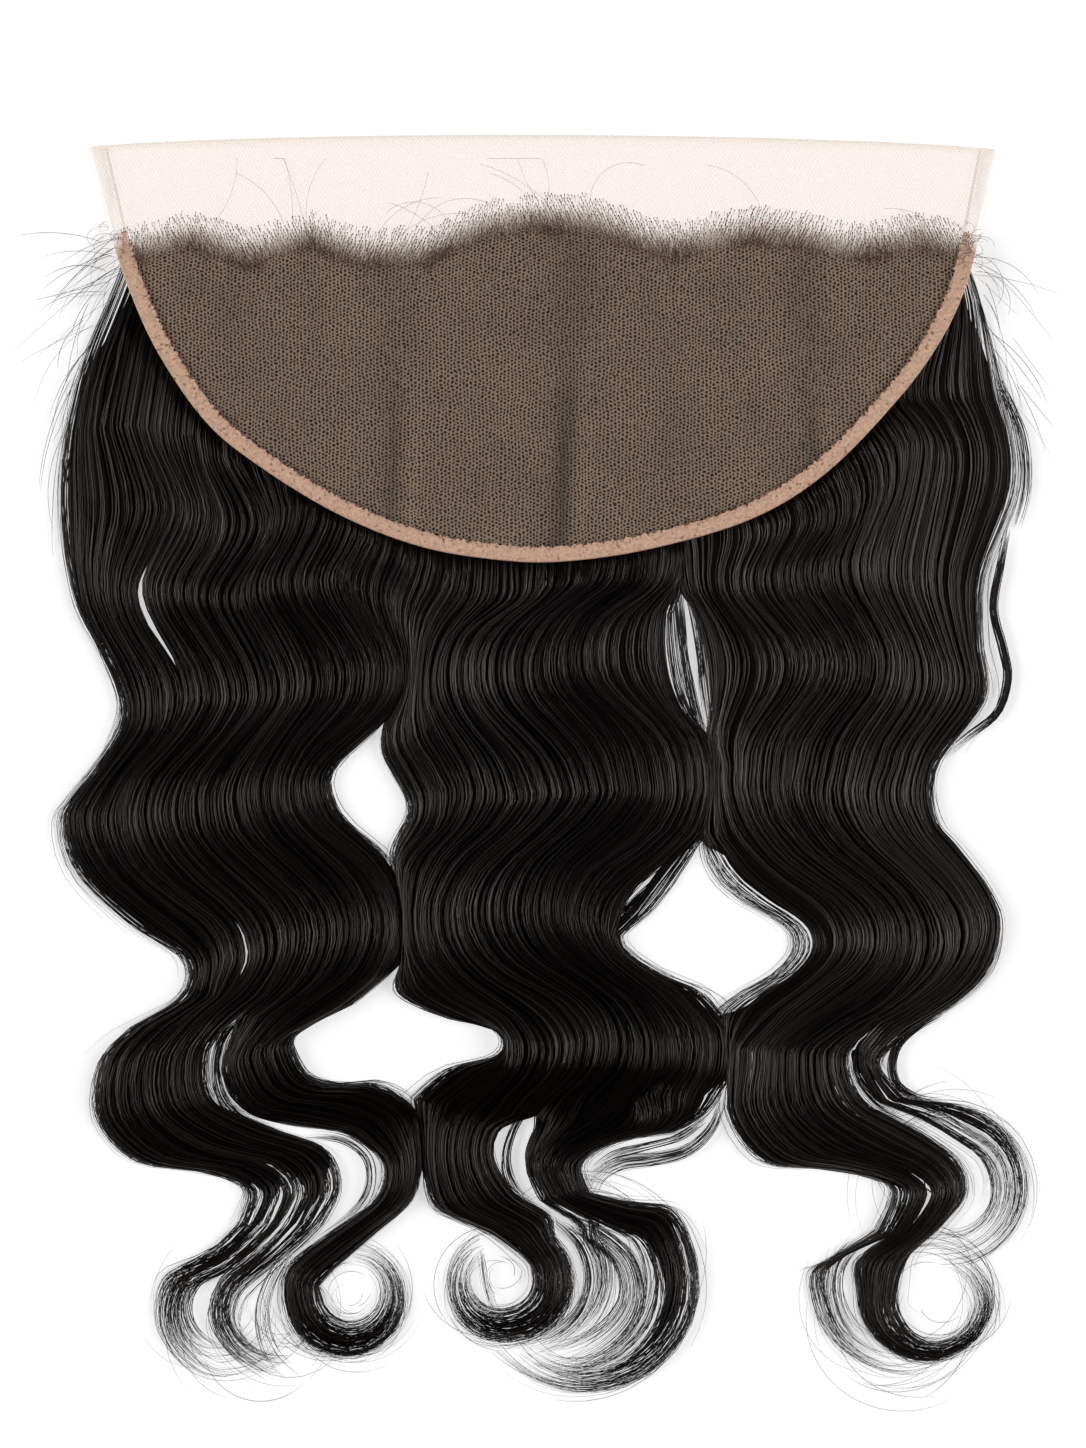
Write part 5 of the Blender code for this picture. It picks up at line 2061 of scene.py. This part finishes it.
@dataclass
class Flyaways:
    """Single hairs round the sections and at the sides of the lace."""

    sections: list[HairSection]
    half: float = 0.085
    steps: int = 16
    seed: int = 23
    rim_count: int = 380
    sprays: tuple[Spray, ...] = (
        Spray(-160, 198, 188, 30, 14, 50, 12, 3, 4), Spray(-163, 188, 212, 30, 16, 30, 16, 3, 6),
        Spray(-168, 170, 225, 34, 14, 30, 12, 3, 8), Spray(-176, 140, 245, 38, 10, 20, 10, 3, 10),
        Spray(163, 192, -15, 30, 18, -50, 7, 3, 5), Spray(168, 175, -50, 34, 14, -25, 10, 3, 8),
        Spray(177, 140, -62, 34, 10, -20, 9, 3, 10),
    )

    def spray(self, rng: np.random.Generator, spray: Spray) -> Array:
        """Return the points of one spray's hairs."""
        share = np.linspace(0.0, 1.0, self.steps)[None]
        heading = np.radians(spray.heading + rng.normal(0.0, spray.fan, spray.count))[:, None]
        bend = np.radians(spray.bend * rng.normal(1.0, 0.7, spray.count))[:, None]
        length = spray.length * rng.uniform(0.4, 1.15, spray.count)[:, None]
        way = heading + bend * share
        step = length / (self.steps - 1)
        x = spray.x + column(rng.normal(0.0, spray.spread_x, spray.count))
        y = spray.y + column(rng.normal(0.0, spray.spread_y, spray.count))
        x, y = x + np.cumsum(np.cos(way) * step, axis=1), y + np.cumsum(np.sin(way) * step, axis=1)
        z = spray.height * (1.0 - 0.6 * share) + rng.uniform(0, 1, (spray.count, 1))
        return np.stack([x, y, np.clip(z, 0.3, None)], axis=2)

    def rim(self, rng: np.random.Generator, section: HairSection, fall: Fall, count: int) -> Array:
        """Return hairs that leave a lock's free edges and run beside it."""
        length = rng.uniform(0.06, 0.26, count)
        right = rng.uniform(0, 1, count) < 0.5
        low = section.leaving(fall, np.where(right, 1.0, 0.0))
        begin = mix(low, 1.02 - length, rng.uniform(0.0, 1.0, count))
        places = begin[:, None] + length[:, None] * np.linspace(0.0, 1.0, self.steps)[None]
        station = fall.read(places)
        share = column(np.where(right, 1.0, 0.0)) * np.ones((1, self.steps))
        out = column(np.where(right, 1.0, -1.0))
        grow = np.linspace(0.0, 1.0, self.steps)[None] ** 1.4
        beside = column(rng.uniform(-1.5, 0.8, count))
        offset = out * (beside + column(rng.gamma(1.4, 1.3, count)) * grow)
        offset += wander(rng, count, 4, places) * 0.8
        x, y = section.path_of(station, share, offset)
        z = np.broadcast_to(rng.uniform(0.3, 1.6, count)[:, None], x.shape)
        whole = np.where(right, station[:, 0, 6] > 0.97, station[:, 0, 5] < 0.03)
        middle = y.mean(axis=1)
        seams = [seam.weight(middle) for seam in (section.edge_right, section.edge_left)]
        return np.stack([x, y, z], axis=2)[whole & (np.where(right, *seams) < 0.2)]

    def build(self, material: bpy.types.Material) -> bpy.types.Object:
        """Return all stray hairs as one mesh."""
        rng = np.random.default_rng(self.seed)
        parts = [self.spray(rng, spray) for spray in self.sprays]
        for section in self.sections:
            falls = section.falls()
            for fall in falls:
                parts.append(self.rim(rng, section, fall, int(self.rim_count / len(falls) * 2)))
        paths = np.concatenate(parts)
        taper = np.interp(np.linspace(0, 1, self.steps), (0.0, 0.1, 0.7, 1.0), (0.7, 1.0, 0.9, 0.35))
        half = self.half * rng.uniform(0.6, 1.3, len(paths))[:, None] * taper[None]
        piece = tubes("stray_hairs", paths, half, rng.uniform(0.0, 1.0, len(paths)))
        finish_piece(piece, material)
        return piece


@dataclass(frozen=True)
class Wisp:
    """A thin lock of loose strands along a line of (x, y) knots."""

    knots: tuple[tuple[float, float], ...]
    count: int
    wide_from: float
    wide_to: float
    half: float = 0.13
    height: float = 2.0
    ragged: float = 0.25


@dataclass(frozen=True)
class Loop:
    """Fine hairs that each run some way round a centre."""

    x: float
    y: float
    near: float
    far: float
    start: float
    sweep: float
    count: int
    half: float = 0.075
    off: float = 1.5


WISPS = (
    Wisp(
        ((177, 92), (174, 76), (171.5, 60), (175, 45), (177, 34), (173, 21), (162, 12), (152, 4)),
        46, 3, 3.2,
    ),
    Wisp(
        ((152, -93), (143, -98), (135.5, -105), (133, -113), (135, -121), (142, -126), (152, -128)),
        44, 4, 3,
    ),
    Wisp(((128, -99), (121, -106), (119, -114), (122, -122), (129, -129), (138, -134)), 26, 2, 3),
    Wisp(
        ((69, -126), (64, -138), (55, -146), (42, -149.5), (30, -151), (21, -156), (17, -164)), 40,
        3, 7, 0.09,
    ),
    Wisp(((62, -134), (52, -141), (38, -145), (27, -148), (19, -154)), 22, 2, 4, 0.09),
    Wisp(
        ((8, -172), (20, -178), (31, -188), (34, -202), (28, -214), (15, -223), (0, -227)), 60, 6,
        15, 0.09,
    ),
    Wisp(((4, -172), (14, -182), (18, -195), (14, -208), (4, -217), (-8, -221)), 34, 4, 8, 0.09),
    Wisp(((-16, -128), (-21, -138), (-20.5, -150), (-16, -160), (-8, -168)), 34, 2, 7, 0.11),
    Wisp(((-4, -128), (-11, -138), (-14, -150), (-11, -160), (-3, -168)), 26, 2, 5, 0.11),
    Wisp(((-24, -184), (-22.5, -194), (-20.5, -203), (-17, -210)), 13, 2, 5, 0.07),
    Wisp(
        ((-112, -94), (-121, -102), (-124, -114), (-121.5, -126), (-113, -134), (-100, -139)), 46,
        3, 7, 0.11,
    ),
    Wisp(
        ((-90, -140), (-76, -142), (-67, -149), (-66, -160), (-72, -170), (-84, -179)), 26, 3, 5,
        0.08,
    ),
    Wisp(
        ((-108, -176), (-122, -188), (-134, -194), (-140, -206), (-136, -219), (-124, -229)), 60, 6,
        16, 0.1,
    ),
    Wisp(
        ((-100, -180), (-112, -190), (-121, -198), (-123, -210), (-116, -222), (-102, -231)), 46, 4,
        9, 0.1,
    ),
    Wisp(((-96, -183), (-104, -196), (-107, -210), (-103, -224), (-92, -235)), 16, 3, 8, 0.08),
    Wisp(((51, 70), (52.5, 55), (54, 42), (56.5, 28), (60, 12), (61, 0)), 40, 3, 3, 0.11),
    Wisp(((58, 70), (59.5, 52), (60, 38), (61, 22)), 16, 2, 2, 0.1),
    Wisp(((147, -142), (152, -152), (152, -164), (147, -174), (140, -180)), 26, 2, 4, 0.1),
    Wisp(((120, -180), (112, -190), (111, -203), (117, -216), (130, -225)), 34, 5, 12, 0.09),
    Wisp(((140, -183), (134, -195), (134, -207), (140, -217), (150, -222)), 30, 3, 5, 0.1),
    Wisp(((-72, 84), (-76, 72), (-70, 60), (-60, 48), (-56, 34), (-60, 22)), 20, 6, 4, 0.1, 10.4),
    Wisp(((50, -30), (44, -42), (34, -52), (28, -60), (30, -70), (38, -78)), 26, 2, 3, 0.12),
    Wisp(
        ((-176, 128), (-181, 108), (-180, 88), (-176, 68), (-167, 44), (-160, 24), (-166, 6)), 30,
        5, 4, 0.1,
    ),
    Wisp(((172, 150), (182, 128), (184, 108), (180, 90)), 26, 4, 5, 0.1),
)

LOOPS = (
    Loop(-73, -200, 5, 12.5, 0, 360, 9), Loop(-75, -203, 20, 27, 100, 300, 26),
    Loop(-16, -195, 5, 13, 0, 360, 10), Loop(-17, -197, 18, 25, 40, 300, 26),
    Loop(150, -203, 9, 20, 0, 360, 9), Loop(150, -204, 21, 27, 150, 330, 24),
    Loop(133, -203, 22, 38, 140, 150, 22, 0.07, 3.0), Loop(15, -196, 30, 44, -150, 190, 34),
    Loop(-120, -209, 12, 30, 120, 190, 30, 0.07, 4.0),
    Loop(-104, -211, 10, 27, 150, 200, 20, 0.07, 4.0), Loop(152, -160, 26, 34, -70, 170, 24),
)


@dataclass
class LooseLocks:
    """Thin wisps between the locks and fine hairs round the curls."""

    steps: int = 22
    seed: int = 41

    def wisp(self, wisp: Wisp, rng: np.random.Generator) -> tuple[Array, Array]:
        """Return the points and half widths of one wisp's strands."""
        knots = np.array(wisp.knots, float)
        begin = rng.uniform(0.0, wisp.ragged * 0.6, wisp.count)[:, None]
        end = 1.0 - rng.uniform(0.0, wisp.ragged, wisp.count)[:, None]
        places = mix(begin, end, np.linspace(0.0, 1.0, self.steps)[None])
        at = (places * (len(knots) - 1)).ravel()
        line = catmull(knots, at).reshape(wisp.count, self.steps, 2)
        way = np.gradient(line, axis=1)
        way /= np.linalg.norm(way, axis=2, keepdims=True) + 1e-9
        side = rng.uniform(-0.5, 0.5, wisp.count)[:, None] * mix(wisp.wide_from, wisp.wide_to, places)
        side = side + wander(rng, wisp.count, 5, places) * 0.5
        x = line[..., 0] - way[..., 1] * side
        y = line[..., 1] + way[..., 0] * side
        z = wisp.height + column(rng.uniform(-1.0, 1.0, wisp.count))
        z = z + 0.3 * wander(rng, wisp.count, 4, places)
        taper = np.interp(np.linspace(0, 1, self.steps), (0.0, 0.12, 0.75, 1.0), (0.3, 1.0, 0.9, 0.25))
        half = wisp.half * rng.uniform(0.6, 1.4, wisp.count)[:, None] * taper[None]
        return np.stack([x, y, np.clip(z, 0.3, None)], axis=2), half

    def loop(self, loop: Loop, rng: np.random.Generator) -> tuple[Array, Array]:
        """Return the points and half widths of fine hairs round a centre."""
        length = rng.uniform(50.0, 150.0, loop.count)
        first = loop.start + rng.uniform(0.0, max(loop.sweep, 1.0), loop.count)
        along = np.linspace(0.0, 1.0, self.steps)[None]
        turn = np.radians(column(first) + column(length) * along)
        radius = mix(loop.near, loop.far, rng.uniform(0.0, 1.0, loop.count) ** 1.3)[:, None]
        opening = column(rng.normal(0.0, 0.12, loop.count)) * (2.0 * along - 1.0)
        radius = radius * (1.0 + opening)
        middle = np.array((loop.x, loop.y)) + rng.normal(0.0, loop.off, (loop.count, 2))
        x = middle[:, :1] + radius * np.cos(turn)
        y = middle[:, 1:] + radius * np.sin(turn)
        z = np.broadcast_to(rng.uniform(0.4, 1.6, loop.count)[:, None], x.shape)
        taper = np.interp(np.linspace(0, 1, self.steps), (0.0, 0.15, 0.8, 1.0), (0.4, 1.0, 0.9, 0.3))
        half = loop.half * rng.uniform(0.6, 1.3, loop.count)[:, None] * taper[None]
        return np.stack([x, y, z], axis=2), half

    def build(self, material: bpy.types.Material) -> bpy.types.Object:
        """Return all wisps and loops as one mesh."""
        rng = np.random.default_rng(self.seed)
        parts = [self.wisp(wisp, rng) for wisp in WISPS] + [self.loop(loop, rng) for loop in LOOPS]
        paths, half = (np.concatenate(column) for column in zip(*parts))
        piece = tubes("loose_wisps", paths, half, rng.uniform(0.0, 1.0, len(paths)))
        finish_piece(piece, material)
        return piece


@dataclass
class LaceHairs:
    """Long fine hairs over the front lace, loops over the band's ends and hairs caught in it."""

    lace: LaceBase
    long_count: int = 20
    loop_count: int = 34
    tick_count: int = 420
    steps: int = 18
    seed: int = 63

    def build(self, material: bpy.types.Material) -> bpy.types.Object:
        """Return the hairs as one mesh."""
        rng = np.random.default_rng(self.seed)
        share = np.linspace(0.0, 1.0, self.steps)[None]
        x = rng.uniform(-150.0, 150.0, self.long_count)[:, None]
        y = self.lace.hairline_y(x) - 4.0
        heading = np.radians(90.0 + rng.normal(0.0, 45.0, self.long_count))[:, None]
        bend = np.radians(rng.normal(0.0, 70.0, self.long_count))[:, None]
        length = rng.uniform(12.0, 42.0, self.long_count)[:, None]
        way = heading + bend * share
        step = length / (self.steps - 1)
        long_x = x + np.cumsum(np.cos(way) * step, axis=1)
        long_y = np.minimum(y + np.cumsum(np.sin(way) * step, axis=1), 232.0)
        each = (self.loop_count, 1)
        side = column(np.where(rng.uniform(0, 1, self.loop_count) < 0.5, -1.0, 1.0))
        turn = rng.uniform(0.0, math.tau, each) + share * rng.uniform(1.5, 4.0, each)
        radius = rng.uniform(2.0, 6.0, each)
        loop_x = side * (165.0 + rng.uniform(-6.0, 4.0, each)) + radius * np.cos(turn)
        loop_y = 200.0 + rng.uniform(-9.0, 6.0, each) + radius * 0.7 * np.sin(turn)
        x, y = np.concatenate([long_x, loop_x]), np.concatenate([long_y, loop_y])
        z = self.lace.floor(x, y) + self.lace.wall * 0.5 + 0.35
        z = np.where(np.arange(len(x))[:, None] < self.long_count, z, z + 1.4)
        half = np.full(x.shape, 0.06)
        half[: self.long_count] = 0.045
        paths = np.stack([x, y, z], axis=2)
        piece = tubes("lace_hairs", paths, half, rng.uniform(0.0, 1.0, len(x)))
        finish_piece(piece, material)
        return piece

    def build_ticks(self, band: EdgeTape, material: bpy.types.Material) -> bpy.types.Object:
        """Return short dark hairs caught under the stitches of the band's inner edge."""
        rng = np.random.default_rng(self.seed + 1)
        along = rng.uniform(0.01, 0.99, self.tick_count)
        inner = band.width + rng.uniform(-1.6, 0.4, self.tick_count)
        length = rng.uniform(0.5, 1.9, self.tick_count)
        paths = []
        for share in (0.0, 0.5, 1.0):
            drift = rng.uniform(-1.0, 1.0, self.tick_count) * share * 0.0012
            place = self.lace.along_back(np.clip(along + drift, 0.0, 1.0), inner + length * share)
            paths.append(self.lace.over(place, self.lace.wall + 1.12 - 0.3 * share))
        half = np.broadcast_to(np.array((0.05, 0.13, 0.10)), (self.tick_count, 3))
        half = half * rng.uniform(0.5, 1.3, self.tick_count)[:, None]
        tones = rng.uniform(0.0, 0.6, self.tick_count)
        piece = tubes("band_hairs", np.stack(paths, axis=1), half, tones)
        finish_piece(piece, material)
        return piece


@dataclass
class Studio:
    """A pale floor, two soft side lights and a camera straight above."""

    pixel: float = 0.38
    photo_width: int = 1086
    photo_height: int = 1448
    datum_x: float = 543.0
    datum_y: float = 767.0
    lens: float = 100.0
    sensor: float = 36.0
    plane_height: float = 6.0
    floor_size: float = 4.0
    floor_glow: float = 0.62
    floor_colour: float = 0.65
    light_height: float = 29.0
    light_strength: float = 1.9
    light_width: float = 26.0
    sky: float = 0.04

    def camera(self) -> None:
        """Put the camera over the middle of the photograph's frame."""
        tall = self.photo_height * self.pixel * MM
        data = bpy.data.cameras.new("camera")
        data.lens = self.lens
        data.sensor_width = self.sensor
        made = bpy.data.objects.new("camera", data)
        x = (self.photo_width / 2.0 - self.datum_x) * self.pixel
        y = (self.datum_y - self.photo_height / 2.0) * self.pixel + CENTRE_Y
        made.location = (x * MM, y * MM, tall * self.lens / self.sensor + self.plane_height * MM)
        bpy.context.scene.collection.objects.link(made)
        bpy.context.scene.camera = made

    def floor(self) -> None:
        """Lay the floor that the piece rests on."""
        clear_selection()
        bpy.ops.mesh.primitive_plane_add(size=self.floor_size, location=(0.0, 0.0, 0.0))
        made = bpy.context.active_object
        made.name = "floor"
        material = bpy.data.materials.new("floor")
        material.use_nodes = True
        shader = material.node_tree.nodes["Principled BSDF"]
        shader.inputs["Base Color"].default_value = (*(self.floor_colour,) * 3, 1.0)
        shader.inputs["Roughness"].default_value = 0.9
        shader.inputs["Emission Color"].default_value = (1.0, 1.0, 1.0, 1.0)
        shader.inputs["Emission Strength"].default_value = self.floor_glow
        made.data.materials.append(material)

    def sun(self, name: str, heading: float, elevation: float, strength: float, angle: float) -> None:
        """Add a soft light from one side.

        Args:
            name: the light's name.
            heading: where it stands, in degrees from +X towards +Y.
            elevation: its height over the floor in degrees.
            strength: its strength.
            angle: its width in degrees, which softens its shadows.
        """
        data = bpy.data.lights.new(name, "SUN")
        data.energy = strength
        data.angle = math.radians(angle)
        made = bpy.data.objects.new(name, data)
        made.rotation_euler = (0.0, math.radians(90.0 - elevation), math.radians(heading))
        bpy.context.scene.collection.objects.link(made)

    def build(self) -> None:
        """Set up the whole studio."""
        self.camera()
        self.floor()
        for name, heading in (("left_softbox", 180.0), ("right_softbox", 0.0)):
            self.sun(name, heading, self.light_height, self.light_strength, self.light_width)
        world = bpy.data.worlds.new("studio")
        world.use_nodes = True
        world.node_tree.nodes["Background"].inputs["Color"].default_value = (1.0, 1.0, 1.0, 1.0)
        world.node_tree.nodes["Background"].inputs["Strength"].default_value = self.sky
        bpy.context.scene.world = world
        bpy.context.scene.view_settings.view_transform = "Standard"


def main() -> None:
    """Build every sub-assembly in order."""
    logging.basicConfig(level=logging.INFO, format="%(message)s")
    effects = Effects()
    core_finish = HairFinish(
        "hair_core", (0.0016, 0.0012, 0.001), 0.6, across=2.6, bump=0.8, gloss=0.1
    )
    black = (0.0018, 0.0013, 0.0011)
    # One black hair in three copies with painted sheen: gloss, roughness and sheen rise from the left
    # section to the right, so the right looks more brightly lit and the left darker.
    strand_finishes_with_painted_sheen = [
        HairFinish(name, black, rough, across=1.2, bump=0.3, gloss=gloss, coat=1.6, sheen=sheen)
        for name, rough, gloss, sheen in (
            ("hair_left", 0.27, 0.32, 0.42),
            ("hair_centre", 0.30, 0.36, 0.55),
            ("hair_right", 0.35, 0.48, 0.75),
        )
    ]
    loose_finish = HairFinish("hair_loose", (0.012, 0.009, 0.008), 0.4, gloss=0.3, coat=0.6)
    root_finish = HairFinish("hair_root", (0.13, 0.075, 0.052), 0.7, (0.24, 0.145, 0.105), gloss=0.2)
    net_finish = NetFinish("lace_net", (0.98, 0.80, 0.64), 0.8, sheer=0.185, between=0.145)
    hem_finish = NetFinish("hem_net", (1.0, 0.80, 0.60), 0.8, sheer=0.05, between=0.03)
    line_finish = NetFinish("hem_line", (1.0, 0.68, 0.45), 0.8, sheer=0.10, between=0.06, thread=0.6)
    tape_finish = TapeFinish("edge_tape", (0.84, 0.53, 0.38), 0.9)

    Studio().build()
    lace = LaceBase()
    near_left = Seam(((8.0, 300.0), (-84.0, -46.0), (-158.0, -128.0)), 1.2)
    near_right = Seam(((60.0, 300.0), (-32.0, 20.0), (-122.0, -92.0)), 2.6)
    sections = [
        HairSection(
            "hair_left", LEFT, lace, None, 26.0, LEFT_GUIDES, 101, Seam(), near_left, LEFT_PARTINGS
        ),
        HairSection(
            "hair_centre",
            CENTRE,
            lace,
            26.0,
            76.0,
            CENTRE_GUIDES,
            202,
            near_left,
            near_right,
            CENTRE_PARTINGS,
        ),
        HairSection(
            "hair_right", RIGHT, lace, 76.0, None, RIGHT_GUIDES, 303, near_right, Seam(), RIGHT_PARTINGS
        ),
    ]
    core, root, loose = (finish.make(effects) for finish in (core_finish, root_finish, loose_finish))
    for section, finish in zip(sections, strand_finishes_with_painted_sheen):
        section.build(core, finish.make(effects))
    Hairline(lace).build(root)
    Flyaways(sections).build(loose)
    LooseLocks().build(loose)
    band = EdgeTape(lace)
    fine_hairs = LaceHairs(lace)
    fine_hairs.build(root)
    fine_hairs.build_ticks(band, root)
    sheet = lace.build(net_finish, effects)
    band.build(tape_finish, effects)
    hems = []
    for side in Side:
        hems += SideHem(lace, side).build(hem_finish, line_finish, effects)
    lace.flat_area()


if __name__ == "__main__":
    main()
